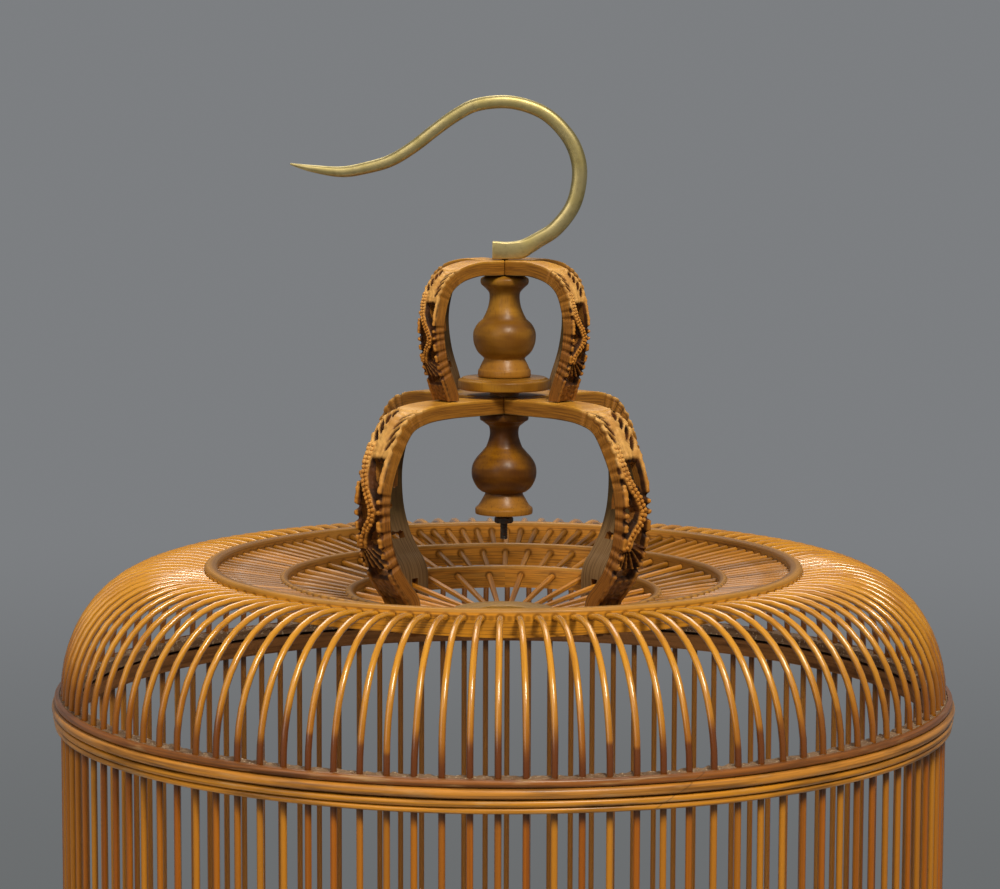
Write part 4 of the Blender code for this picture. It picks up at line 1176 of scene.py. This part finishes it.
def makeStrip(name, sizes, design):
    top = shoulderTop
    rise = sizes["top"] - sizes["foot"]
    points = [(design["rodGap"], sizes["top"]), (sizes["profile"][0][0] * sizes["reach"] / 2, sizes["top"])]
    points += [(share * sizes["reach"], sizes["foot"] + high * rise) for share, high in sizes["profile"]]
    line = smoothLine(points, 10)
    lengths = lengthsOf(line)
    scale = sizes["width"] / (2 * design["halfWidth"])          # metres to a millimetre of the layout
    holes = [list(hole) for hole in design["holes"]]
    if sizes["footSlot"]:
        start, end, half = sizes["footSlot"]
        holes.append([(start, -half), (start, half), (end, half), (end, -half)])

    def onLine(distance):
        distance = min(max(distance, 0.0), lengths[-1])
        low, high = 0, len(lengths) - 1
        while high - low > 1:
            middle = (low + high) // 2
            low, high = (middle, high) if lengths[middle] <= distance else (low, middle)
        spot = line[low].lerp(line[high], (distance - lengths[low]) / (lengths[high] - lengths[low]))
        before, after = line[max(low - 1, 0)], line[min(high + 1, len(line) - 1)]
        return spot, (after - before).normalized()

    def toSpace(distance, across, depth):
        spot, heading = onLine(distance)
        inwards = Vector((heading.y, -heading.x))
        half = min(sizes["width"] / 2, spot.x - cage["mitre"])
        spot = spot + inwards * depth
        return Vector((across * half, -spot.x, top + spot.y))

    def toLayout(distance, across):
        return (distance - sizes["padEnd"]) / scale, across * design["halfWidth"]

    def holeDistance(along, acrossMm):
        if along < design["holeStart"]:
            return inf
        return min(insideDistance(hole, (along, acrossMm)) for hole in holes)

    cell = 0.6 * lengths[-1] / sizes["rows"] / scale            # corners so near a hole's rim are moved on to it
    places = []

    def placeAt(u, v):
        distance, across = v * lengths[-1], 2 * u - 1
        along, acrossMm = toLayout(distance, across)
        away = holeDistance(along, acrossMm)
        if abs(away) < cell and 0.0 < u < 1.0:
            tiny = 0.02
            slope = Vector((holeDistance(along + tiny, acrossMm) - away, holeDistance(along, acrossMm + tiny) - away))
            if slope.length > 1e-6:
                slope.normalize()
                if v < 1.0:
                    along -= slope.x * away
                acrossMm -= slope.y * away
                distance, across = sizes["padEnd"] + along * scale, acrossMm / design["halfWidth"]
        places.append((distance, across))
        return toSpace(distance, across, 0.0)

    strip = shapedGrid(name, sizes["columns"], sizes["rows"], placeAt)
    for index, key in enumerate(("distance", "across")):
        setAttribute(strip, key, [place[index] for place in places])
    makeActive(strip)
    bpy.ops.object.mode_set(mode="EDIT")
    bpy.ops.mesh.select_all(action="DESELECT")
    bpy.ops.object.mode_set(mode="OBJECT")
    for face in strip.data.polygons:
        middle = [sum(places[corner][index] for corner in face.vertices) / 4 for index in (0, 1)]
        face.select = holeDistance(*toLayout(*middle)) < 0
    bpy.ops.object.mode_set(mode="EDIT")
    bpy.ops.mesh.delete(type="FACE")
    if strip.data.polygons[0].normal.z < 0:
        bpy.ops.mesh.select_all(action="SELECT")
        bpy.ops.mesh.flip_normals()
    bpy.ops.object.mode_set(mode="OBJECT")
    strip.vertex_groups.new(name="inner")
    applyModifier(strip, "SOLIDIFY", thickness=sizes["thickness"], offset=-1.0, shell_vertex_group="inner")
    distances, acrosses = ([item.value for item in strip.data.attributes[key].data]
                           for key in ("distance", "across"))
    depths, insides = [], []
    for corner, distance, across in zip(strip.data.vertices, distances, acrosses):
        inner = any(group.weight > 0.5 for group in corner.groups)
        along, acrossMm = toLayout(distance, across)
        if inner:
            corner.co = toSpace(distance, across, sizes["thickness"])
            if distance > lengths[-1] - 1e-5:
                corner.co.z = top + sizes["foot"]
            depths.append(0.4)
        else:
            depth, pull = carvedDepth(design, along, acrossMm)
            edge = eased(design["edgeShare"], 1.0, abs(across))
            corner.co = toSpace(distance, across * (1 - edge * pull / design["halfWidth"]), depth * scale)
            depths.append(min(depth / design["ground"], 1.0))
        insides.append(1.0 if inner else 0.0)
    setAttribute(strip, "depth", depths)
    setAttribute(strip, "inside", insides)
    setAttribute(strip, "along", [toLayout(distance, 0.0)[0] for distance in distances])
    setAttribute(strip, "across", [across * design["halfWidth"] for across in acrosses])
    strip.data.attributes.remove(strip.data.attributes["distance"])
    strip.vertex_groups.clear()
    smoothShade(strip, 42)
    return strip, toSpace, scale


def addBeads(name, strip, toSpace, sizes, scale, design):
    bead = added(bpy.ops.mesh.primitive_uv_sphere_add, segments=8, ring_count=5, radius=design["beadRadius"] * scale)
    pieces = [strip]
    along, outerEnd = design["beads"]
    while along < design["fan"][0]:
        middle = ribbonMiddle(design, along)
        slope = (ribbonMiddle(design, along + 0.3) - middle) / 0.3
        length = sqrt(1 + slope * slope)
        for side in (-1, 1):
            if along > outerEnd and side == 1:
                continue
            place = along - side * design["beadOffset"] * slope / length
            across = middle + side * design["beadOffset"] / length
            depth = carvedDepth(design, place, across)[0] * scale
            spot = toSpace(sizes["padEnd"] + place * scale, across / design["halfWidth"],
                           max(depth, design["beadSink"]))
            twin = copyOf(bead, "bead", Matrix.Translation(spot))
            for attribute, value in (("depth", 0.12), ("inside", 0.0), ("along", along), ("across", across)):
                setAttribute(twin, attribute, value)
            pieces.append(twin)
        along += design["beadPitch"] / length
    removePiece(bead)
    return joinAs(name, pieces)


def makeYokes(settings, design, colours):
    material = makeCarvedFinish("carved_strip", colours)
    sides = ("front_right", "back_right", "back_left", "front_left")
    for tier, sizes in settings.items():
        strip, toSpace, scale = makeStrip("strip", sizes, design)
        strip = addBeads("strip", strip, toSpace, sizes, scale, design)
        for index, side in enumerate(sides):
            piece = copyOf(strip, "carved_" + tier + "_" + side, turnAround(pi / 4 + index * pi / 2))
            finishPiece(piece, "cage", "carved_bamboo", material, tier + "_yoke_" + side)
        removePiece(strip)


makeYokes(yokeSettings, carving, carvedFinish)
print("yokes carved")

# Hook: one forged bar, from its point over the bend to the block that stands on the upper yoke.
# Each station is along, up, half height, half width in millimetres from the block's underside at the rod,
# and how square the bar is there.
hookSettings = {
    "stations": (
        (-85.8, 37.6, 0.35, 0.35, 2.0), (-77.3, 35.8, 1.40, 1.30, 2.2), (-65.3, 34.5, 2.15, 2.05, 2.5),
        (-55.4, 36.1, 2.38, 2.30, 2.7), (-45.7, 39.0, 2.46, 2.40, 2.8), (-36.7, 44.4, 2.50, 2.45, 2.8),
        (-27.8, 51.3, 2.55, 2.50, 2.8), (-19.7, 57.1, 2.60, 2.55, 2.8), (-11.5, 61.2, 2.62, 2.58, 2.8),
        (0.0, 62.5, 2.64, 2.60, 2.8), (10.3, 60.4, 2.70, 2.65, 2.8), (18.4, 56.0, 2.80, 2.72, 2.8),
        (25.8, 47.7, 2.95, 2.85, 2.8), (29.35, 38.6, 3.05, 2.95, 2.8), (29.35, 29.5, 3.05, 3.0, 2.8),
        (26.6, 20.4, 3.05, 3.05, 2.9), (20.1, 12.1, 3.10, 3.10, 3.2), (13.2, 7.6, 3.15, 3.25, 4.0),
        (9.4, 5.35, 3.35, 3.40, 5.5), (6.2, 3.85, 3.65, 3.47, 9.0), (1.5, 3.42, 3.42, 3.48, 12.0),
        (-2.6, 3.50, 3.50, 3.48, 14.0), (-4.95, 3.58, 3.55, 3.48, 14.0)),
    "sides": 20,
    "steps": 7,
    "bevel": 0.00025,
    "brass": (0.530, 0.430, 0.200),
    "tarnish": (0.260, 0.200, 0.080),
    "olive": (0.370, 0.300, 0.115),
}


def makeBrass(settings):
    finish = Finish("aged_brass", metal=0.92, roughness=0.4)
    clouds = finish.grain(finish.place(), 95.0, 5.0, 0.6)
    blotches = finish.grain(finish.place(), 420.0, 4.0)
    scratches = finish.grain(finish.stretch(finish.place(), (260.0, 2600.0, 900.0)))
    base = finish.blend(finish.step(clouds, 0.32, 0.68), settings["brass"], settings["olive"])
    base = finish.blend(finish.step(blotches, 0.48, 0.78) * 0.5, base, settings["tarnish"])
    finish.colour(finish.blend(finish.step(scratches, 0.55, 0.75) * 0.2, base, settings["tarnish"]))
    finish.roughness(finish.step(clouds, 0.3, 0.7, 0.36, 0.5))
    finish.bump(clouds, 0.0001, 0.2)
    return finish.material


def makeHook(settings):
    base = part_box("brass_hook")[0].z
    points = smoothLine([station[:2] for station in settings["stations"]], settings["steps"])
    sizes = smoothLine([station[2:] for station in settings["stations"]], settings["steps"])
    rows = len(points) - 1

    def placeAt(u, v):
        row = round(v * rows)
        up = -rightOf(points, row)
        halfHeight, halfWidth, square = sizes[row]
        turn = 2 * pi * u
        rise = abs(cos(turn)) ** (2 / square) * (1 if cos(turn) > 0 else -1) * halfHeight
        side = abs(sin(turn)) ** (2 / square) * (1 if sin(turn) > 0 else -1) * halfWidth
        level = eased(rows - 3 * settings["steps"], rows - 2 * settings["steps"], row)     # over the foot block
        up = up.lerp(Vector((0.0, -1.0)), level)
        spot = points[row] + up * rise
        return Vector((millimetre * spot.x, millimetre * side, base + millimetre * max(spot.y, 0.0)))

    hook = shapedGrid("forged_hook", settings["sides"], rows, placeAt)
    weldAndTurnOut(hook, closeEnds=True)
    applyModifier(hook, "BEVEL", width=settings["bevel"], segments=2, limit_method="ANGLE", angle_limit=radians(60))
    smoothShade(hook, 35)
    finishPiece(hook, "hook", "aged_brass", makeBrass(settings), "brass_hook")


makeHook(hookSettings)

# Rod with its thread, washer and nut
rodSettings = {
    "radius": 0.00155,
    "threadDepth": 0.00024,
    "threadPitch": 0.0007,
    "threadLength": 0.0126,
    "rowsPerTurn": 6,
    "sides": 16,
    "washer": (0.0021, 0.0038),
    "nutAcross": 0.0033,
    "nutCorner": 0.0038,
    "chamfer": 0.0004,
    "steel": (0.060, 0.052, 0.045),
    "rust": (0.110, 0.050, 0.022),
}


def makeSteel(settings):
    finish = Finish("blackened_steel", metal=0.75, roughness=0.5)
    rust = finish.grain(finish.place(), 700.0, 4.0)
    finish.colour(finish.blend(finish.step(rust, 0.45, 0.7), settings["steel"], settings["rust"]))
    finish.roughness(finish.step(rust, 0.3, 0.7, 0.4, 0.7))
    finish.bump(rust, 0.0001, 0.5)
    return finish.material


def makeRodSet(settings):
    steel = makeSteel(settings)
    low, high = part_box("threaded_rod")
    turns = settings["threadLength"] / settings["threadPitch"]
    rows = round(turns * settings["rowsPerTurn"]) + 2

    def threadAt(u, v):
        row = round(v * rows)
        up = min(row / settings["rowsPerTurn"] * settings["threadPitch"], settings["threadLength"])
        tooth = abs(2 * ((up / settings["threadPitch"] - u) % 1.0) - 1)
        radius = settings["radius"] - settings["threadDepth"] * tooth
        if row == 0:
            radius = settings["radius"] - 2 * settings["threadDepth"]
        height = high.z if row == rows else low.z + up
        return polar(radius if row < rows - 1 else settings["radius"] - settings["threadDepth"], 2 * pi * u, height)

    rod = shapedGrid("thread_cut_rod", settings["sides"], rows, threadAt)
    weldAndTurnOut(rod, closeEnds=True)
    smoothShade(rod, 30)
    finishPiece(rod, "hook", "dark_steel", steel, "threaded_rod")
    low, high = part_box("washer")
    bore, outer = settings["washer"]
    edge = settings["chamfer"] / 2
    washer = bentHoop("steel_washer", [(outer - edge, high.z), (outer, high.z - edge), (outer, low.z + edge),
                                       (outer - edge, low.z), (bore, low.z), (bore, high.z)], 48)
    smoothShade(washer, 30)
    finishPiece(washer, "hook", "dark_steel", steel, "washer")
    low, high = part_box("nut")
    across, corner, chamfer = settings["nutAcross"], settings["nutCorner"], settings["chamfer"]

    def hexagonal(turn, radius, height):
        flat = across / cos((turn + pi / 2) % (pi / 3) - pi / 6)
        return min(radius, flat), height

    nut = bentHoop("hex_nut", [(bore + chamfer, high.z), (across, high.z), (corner, high.z - chamfer),
                               (corner, low.z + chamfer), (across, low.z), (bore + chamfer, low.z),
                               (bore, low.z + chamfer), (bore, high.z - chamfer)], 72, hexagonal)
    smoothShade(nut, 25)
    finishPiece(nut, "hook", "dark_steel", steel, "nut")


makeRodSet(rodSettings)
print("hook, rod, washer and nut made")

# Base: a bent hoop on four feet, bearers and slats of split bamboo inside it, and the thin hoop in the wall
baseSettings = {
    "bore": 0.1720,
    "outer": 0.1816,
    "edge": 0.0015,
    "boreEdge": 0.0004,
    "bead": 0.0006,
    "around": 280,
    "slatCount": 15,
    "knuckle": 0.00022,
    "slatRelief": 0.0002,
    "wallHoop": (0.0043, 0.0006, 0.0008),     # thickness, inner and outer edge
    "wallHoopGap": 0.00002,
    "footSize": (0.0088, 0.0178),
    "footBevel": 0.0014,
    "light": (0.500, 0.280, 0.085),
    "mid": (0.330, 0.150, 0.042),
    "brown": (0.200, 0.082, 0.026),
    "dark": (0.060, 0.024, 0.010),
}


# Straight-grained bamboo. The numbers say how closely the grain is packed along x, y and z.
def makeGrainFinish(name, light, dark, packing, polish=0.45):
    finish = Finish(name, roughness=polish, coat=0.1, coatRoughness=0.35)
    fibres = finish.grain(finish.stretch(finish.place(), packing), 1.0, 4.0)
    broad = finish.grain(finish.stretch(finish.place(), tuple(0.2 * part for part in packing)))
    clouds = finish.grain(finish.place(), 38.0, 3.0)
    base = finish.blend(finish.step(broad, 0.36, 0.68), light, tuple(0.62 * part for part in light))
    base = finish.blend(finish.step(fibres, 0.44, 0.72) * 0.7, base, dark)
    finish.colour(finish.blend(finish.step(clouds, 0.5, 0.75) * 0.4, base, dark))
    finish.roughness(finish.step(fibres, 0.3, 0.8, polish - 0.08, polish + 0.14))
    finish.bump(fibres, 0.0002, 0.6)
    return finish.material


# A split strip along x, with rounded edges and the faint swelling of a knuckle here and there
def splitStrip(name, half, width, depth, knuckles, settings):
    stations = sorted([-1.0, -0.995, 0.995, 1.0] + [place + shift for place in knuckles
                                                   for shift in (-0.02, -0.008, 0.0, 0.008, 0.02)])
    rows = len(stations) - 1
    edge = 0.16 * depth
    section = cutSection(-width / 2, width / 2, 0.0, depth, edge, edge)

    def placeAt(u, v):
        share = stations[round(v * rows)]
        side, up = section[round(u * len(section)) % len(section)]
        swell = max([1 - min(abs(share - place) / 0.02, 1.0) for place in knuckles] + [0.0]) ** 2
        tip = 0.9 if abs(share) > 0.999 else 1.0
        return Vector((share * half, side * tip, min(up * tip + (settings["knuckle"] * swell if up > edge else 0.0),
                                                     depth + cage["seat"])))

    strip = shapedGrid(name, len(section), rows, placeAt)
    weldAndTurnOut(strip, closeEnds=True)
    smoothShade(strip, 30)
    return strip


def makeBase(settings):
    chance = Random(5)
    low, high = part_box("base_hoop")
    bore, boreEdge, outer, edge, bead = (settings[key] for key in ("bore", "boreEdge", "outer", "edge", "bead"))
    face = [(bore, boreEdge), (bore + boreEdge, 0.0), (outer - edge, 0.0), (outer - 0.3 * edge, 0.3 * edge),
            (outer, edge), (outer, 2.4 * edge), (outer - bead, 2.8 * edge), (outer, 3.2 * edge)]
    section = [(radius, high.z - inset) for radius, inset in face]
    section += [(outer, (low.z + high.z) / 2)] + [(radius, low.z + inset) for radius, inset in reversed(face)]
    hoop = bentHoop("bent_base", section, settings["around"])
    smoothShade(hoop, 35)
    finish = Finish("base_lath", roughness=0.4, coat=0.15, coatRoughness=0.3)
    made, fine = hoopStreaks(finish, outer, hoopFinish, settings["mid"], settings["dark"])
    finish.colour(finish.blend(scarfLines(finish, hoopFinish) * 0.8, made, settings["dark"]))
    finish.roughness(finish.step(fine, 0.3, 0.8, 0.34, 0.55))
    finish.bump(fine, 0.0002, 0.6)
    finishPiece(hoop, "cage", "bamboo_base", finish.material, "base_hoop")
    footFinish = makeGrainFinish("foot_bamboo", settings["brown"], settings["dark"], (700.0, 700.0, 60.0))
    for side in ("front_left", "front_right", "back_left", "back_right"):
        low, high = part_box("foot_" + side)
        middle = (low + high) / 2
        turn = atan2(middle.y, middle.x)
        foot = added(bpy.ops.mesh.primitive_cube_add, size=1)
        bpy.ops.object.mode_set(mode="EDIT")
        bpy.ops.mesh.select_all(action="SELECT")
        bpy.ops.mesh.subdivide(number_cuts=5)
        bpy.ops.object.mode_set(mode="OBJECT")
        radius, height = hypot(middle.x, middle.y), high.z - low.z
        for corner in foot.data.vertices:
            rise = corner.co.z + 0.5
            thick = settings["footSize"][0] * (1 - 0.16 * sin(pi * rise))
            wide = settings["footSize"][1] * mixed(0.7, 1.0, rise) * (1 - 0.10 * sin(pi * rise))
            spot = Vector((radius + corner.co.x * thick, corner.co.y * wide, low.z + rise * height))
            corner.co = turnAround(turn) @ spot
        applyModifier(foot, "BEVEL", width=settings["footBevel"], segments=3, limit_method="ANGLE",
                      angle_limit=radians(50))
        smoothShade(foot, 35)
        foot.name = "carved_foot_" + side
        finishPiece(foot, "cage", "bamboo_base", footFinish, "foot_" + side)
    alongX = makeGrainFinish("bearer_bamboo", settings["mid"], settings["dark"], (30.0, 900.0, 900.0))
    alongY = makeGrainFinish("slat_bamboo", settings["light"], settings["mid"], (900.0, 30.0, 900.0))
    nodes = ["floor_bearer_front", "floor_bearer_back"]
    nodes += [f"floor_slat_{index + 1:02d}" for index in range(settings["slatCount"])]
    for node in nodes:
        low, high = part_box(node)
        size, middle = high - low, (low + high) / 2
        bearer = "bearer" in node
        half, width = (size.x / 2, size.y) if bearer else (size.y / 2, size.x)
        knuckles = [chance.uniform(-0.85, -0.2), chance.uniform(0.2, 0.85)]
        strip = splitStrip("split_" + node, half, width, size.z - settings["slatRelief"], knuckles, settings)
        turn = turnAround(0.0 if bearer else pi / 2)
        strip.data.transform(Matrix.Translation((middle.x, middle.y, low.z)) @ turn)
        slot, material = ("bamboo_base", alongX) if bearer else ("bamboo_floor", alongY)
        finishPiece(strip, "cage", slot, material, node)
    low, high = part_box("wall_hoop")
    outer = high.x - settings["wallHoopGap"]
    thick, *edges = settings["wallHoop"]
    section = cutSection(outer - thick, outer, low.z, high.z, *edges)
    hoop = bentHoop("bent_wall_hoop", section, settings["around"])
    smoothShade(hoop, 35)
    finishPiece(hoop, "cage", "bamboo_hoops",
                makeHoopFinish("wall_hoop_finish", hoopFinish, "tan", "brown", (low.z, (low.z + high.z) / 2, high.z)),
                "wall_hoop")


makeBase(baseSettings)
print("base, feet and floor made")

# Tray: a mitred rim round a thin floor of three boards, a turned knob, and the two runners that carry it
traySettings = {
    "rim": 0.0030,
    "floor": 0.0030,
    "floorLift": 0.0002,
    "gap": 0.00025,
    "boards": 3,
    "bevel": 0.0005,
    "runner": 0.0030,
    "runnerBevel": 0.0004,
    "light": (0.470, 0.275, 0.100),
    "dark": (0.200, 0.095, 0.032),
    "knobLight": (0.270, 0.110, 0.034),
    "knobDark": (0.110, 0.036, 0.012),
    "knobSides": 36,
    "knob": ((0.62, 0.0), (0.60, 0.10), (0.42, 0.20), (0.38, 0.34), (0.60, 0.46), (0.92, 0.58), (1.0, 0.74),
             (0.90, 0.90), (0.55, 0.985), (0.0, 1.0)),
}


# A board between two corners, with the ends of a rim board cut to a mitre
def board(name, low, high, bevel, mitre=0.0, inward=0.0):
    piece = added(bpy.ops.mesh.primitive_cube_add, size=1)
    piece.name = name
    lengthwise = 0 if high.x - low.x > high.y - low.y else 1
    across = 1 - lengthwise
    for corner in piece.data.vertices:
        spot = Vector([mixed(low[axis], high[axis], corner.co[axis] + 0.5) for axis in range(3)])
        if mitre and (corner.co[across] > 0) == (inward > 0):
            spot[lengthwise] -= mitre * (1 if corner.co[lengthwise] > 0 else -1)
        corner.co = spot
    applyModifier(piece, "BEVEL", width=bevel, segments=2)
    smoothShade(piece, 35)
    return piece


def makeTray(settings):
    low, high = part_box("tray")
    rim, gap = settings["rim"], settings["gap"]
    alongX = makeGrainFinish("tray_front", settings["light"], settings["dark"], (28.0, 700.0, 700.0))
    alongY = makeGrainFinish("tray_side", settings["light"], settings["dark"], (700.0, 28.0, 700.0))
    rimBoards = (
        ("tray_rim_front", low, Vector((high.x, low.y + rim, high.z)), 1, alongX),
        ("tray_rim_back", Vector((low.x, high.y - rim, low.z)), high, -1, alongX),
        ("tray_rim_left", low, Vector((low.x + rim, high.y, high.z)), 1, alongY),
        ("tray_rim_right", Vector((high.x - rim, low.y, low.z)), high, -1, alongY))
    for name, start, end, inward, material in rimBoards:
        piece = board(name, start, end, settings["bevel"], rim - gap / 2, inward)
        finishPiece(piece, "tray", "bamboo_floor", material, *(["tray"] if name == "tray_rim_front" else []))
    breadth = (high.x - low.x - 2 * rim) / settings["boards"]
    for index in range(settings["boards"]):
        start = Vector((low.x + rim + index * breadth + gap, low.y + rim + gap, low.z + settings["floorLift"]))
        end = Vector((start.x + breadth - 2 * gap, high.y - rim - gap, low.z + settings["floor"]))
        piece = board(f"tray_board_{index + 1}", start, end, settings["bevel"] / 2)
        finishPiece(piece, "tray", "bamboo_floor", alongY)
    low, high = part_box("tray_knob")
    length, radius = high.y - low.y, (high.x - low.x) / 2
    line = smoothLine(settings["knob"], 4)
    section = [(0.0, 0.0)] + [(max(spot.x, 0.0) * radius, spot.y * length) for spot in line]
    rows = len(section) - 1
    middle = (low + high) / 2

    def knobAt(u, v):
        out, forth = section[round(v * rows)]
        return Vector((middle.x + out * cos(2 * pi * u), high.y - forth, middle.z + out * sin(2 * pi * u)))

    knob = shapedGrid("turned_knob", settings["knobSides"], rows, knobAt)
    weldAndTurnOut(knob)
    smoothShade(knob, 40)
    knobFinish = makeGrainFinish("knob_wood", settings["knobLight"], settings["knobDark"], (500.0, 120.0, 500.0), 0.34)
    finishPiece(knob, "tray", "turned_wood", knobFinish, "tray_knob")
    runnerFinish = makeGrainFinish("runner_bamboo", baseSettings["mid"], baseSettings["dark"], (700.0, 28.0, 700.0))
    for side in ("left", "right"):
        low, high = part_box("tray_runner_" + side)
        thick, bevel = settings["runner"], settings["runnerBevel"]
        webStart, webEnd = (high.x - thick, high.x) if side == "right" else (low.x, low.x + thick)
        parts = [board("web", Vector((webStart, low.y, low.z)), Vector((webEnd, high.y, high.z)), bevel),
                 board("lip", low, Vector((high.x, high.y, low.z + thick)), bevel)]
        runner = joinAs("grooved_runner_" + side, parts)
        finishPiece(runner, "cage", "bamboo_base", runnerFinish, "tray_runner_" + side)


makeTray(traySettings)
print("tray made")

# Door: eight bars pinned between two bent laths. The lower lath is forked round a wall bar at each end.
doorSettings = {
    "bars": 8,
    "reach": 4.4,                # half the door's width, in bar pitches
    "circle": 0.1778,
    "foot": 0.0383,
    "top": 0.1480,
    "lower": (0.1742, 0.1800, 0.0363, 0.0433),
    "upper": (0.1786, 0.1816, 0.1340, 0.1410),
    "edge": 0.0008,
    "pinRadius": 0.00055,
    "pins": ((0.1800, 0.0398), (0.1813, 0.1375)),      # distance from the axis, height
    "pin": (0.120, 0.050, 0.018),
    "pinDark": (0.040, 0.018, 0.008),
}


def bentLath(name, inner, outer, bottom, top, first, last, edge, steps):
    section = cutSection(inner, outer, bottom, top, edge, edge)

    def placeAt(u, v):
        radius, height = section[round(v * len(section)) % len(section)]
        return polar(radius, mixed(first, last, u) * barPitch, height)

    lath = shapedGrid(name, steps, len(section), placeAt)
    weldAndTurnOut(lath, closeEnds=True)
    smoothShade(lath, 35)
    return lath


def makeDoor(settings):
    chance = Random(31)
    inner, outer, bottom, top = settings["lower"]
    lathFinish = makeHoopFinish("door_lath_finish", hoopFinish, "gold", "tan", (bottom, top + 0.02, top))
    slotPitch = cage["slotHalf"] / (cage["barCircle"] * barPitch)
    edge, reach, half = settings["edge"], settings["reach"], settings["bars"] / 2
    slotIn, slotOut = cage["barCircle"] - cage["slotHalf"], cage["barCircle"] + cage["slotHalf"]
    parts = [bentLath("lath", inner, outer, bottom, top, slotPitch - half, half - slotPitch, edge, 48)]
    for side in (-1, 1):
        for near, far in ((inner, slotIn), (slotOut, outer)):
            start, end = side * (half - slotPitch), side * reach
            parts.append(bentLath("tine", near, far, bottom, top, start, end, edge / 3, 4))
    lower = joinAs("forked_lath", parts)
    finishPiece(lower, "door", "bamboo_hoops", lathFinish, "door")
    inner, outer, bottom, top = settings["upper"]
    upper = bentLath("door_top_lath", inner, outer, bottom, top, -reach, reach, edge, 52)
    finishPiece(upper, "door", "bamboo_hoops", lathFinish)
    line = [Vector((settings["circle"], mixed(settings["foot"], settings["top"], share)))
            for share in (0.0, 0.01, 0.5, 0.99, 1.0)]
    master = sweptSplint("door_bar", line, cage["barRadius"], 10, 0.8)
    setAttribute(master, "skin", skinValues(master, line))
    setAttribute(master, "tintTop", 0.0)
    bars, pins = [], []
    pin = added(bpy.ops.mesh.primitive_uv_sphere_add, segments=10, ring_count=6, radius=settings["pinRadius"])
    for index in range(settings["bars"]):
        turn = turnAround((index + 0.5 - half) * barPitch)
        bar = copyOf(master, "bar", turn)
        setAttribute(bar, "tone", chance.random())
        bars.append(bar)
        for radius, height in settings["pins"]:
            place = turn @ Matrix.Translation((0.0, -radius, height)) @ Matrix.Diagonal((1.0, 0.4, 1.0, 1.0))
            pins.append(copyOf(pin, "pin", place))
    removePiece(pin)
    removePiece(master)
    group = joinAs("door_bars", bars)
    smoothShade(group, 50)
    finishPiece(group, "door", "bamboo_bars", splint)
    group = joinAs("door_pins", pins)
    smoothShade(group, 50)
    pinFinish = makeGrainFinish("pin_bamboo", settings["pin"], settings["pinDark"], (900.0, 900.0, 900.0))
    finishPiece(group, "door", "bamboo_hoops", pinFinish)


makeDoor(doorSettings)

# Perch: a round stick, whose slotted ends clip on two wall bars
perchSettings = {
    "bar": 32,
    "radius": 0.0054,
    "height": 0.1650,
    "overhang": 0.0034,
    "chamfer": 0.0010,
    "rough": 0.0003,
    "slotHeight": 0.014,
    "slotPast": 0.002,            # how far the slot's cutter reaches past the end
    "sides": 28,
    "rows": 44,
    "bark": (0.215, 0.098, 0.040),
    "dark": (0.075, 0.030, 0.013),
}


def makePerch(settings):
    holding = polar(cage["barCircle"], settings["bar"] * barPitch, settings["height"])
    half = holding.x + cage["barRadius"] + settings["overhang"]

    def placeAt(u, v):
        along, turn = 2 * v - 1, 2 * pi * u
        grain = noise.noise(Vector((9 * along, 2 * cos(turn), 2 * sin(turn))))
        radius = settings["radius"] - settings["rough"] + settings["rough"] * grain
        if v in (0.0, 1.0):
            radius -= settings["chamfer"]
        spread = along if abs(along) > 0.999 else along * 0.996
        return Vector((spread * half, holding.y + radius * cos(turn), settings["height"] + radius * sin(turn)))

    perch = shapedGrid("clipped_perch", settings["sides"], settings["rows"], placeAt)
    weldAndTurnOut(perch, closeEnds=True)
    for side in (-1, 1):
        start = side * (holding.x - cage["slotHalf"])
        end = side * (half + settings["slotPast"])
        cutter = added(bpy.ops.mesh.primitive_cube_add, size=1)
        size = Vector((abs(end - start), 2 * cage["slotHalf"], settings["slotHeight"]))
        for corner in cutter.data.vertices:
            corner.co = Vector((0.5 * (start + end), holding.y, settings["height"])) + corner.co * size
        applyModifier(perch, "BOOLEAN", operation="DIFFERENCE", object=cutter, solver="EXACT")
        removePiece(cutter)
    smoothShade(perch, 40)
    finishPiece(perch, "cage", "bamboo_floor",
                makeGrainFinish("perch_wood", settings["bark"], settings["dark"], (40.0, 600.0, 600.0), 0.55), "perch")


makePerch(perchSettings)
print("door and perch made")
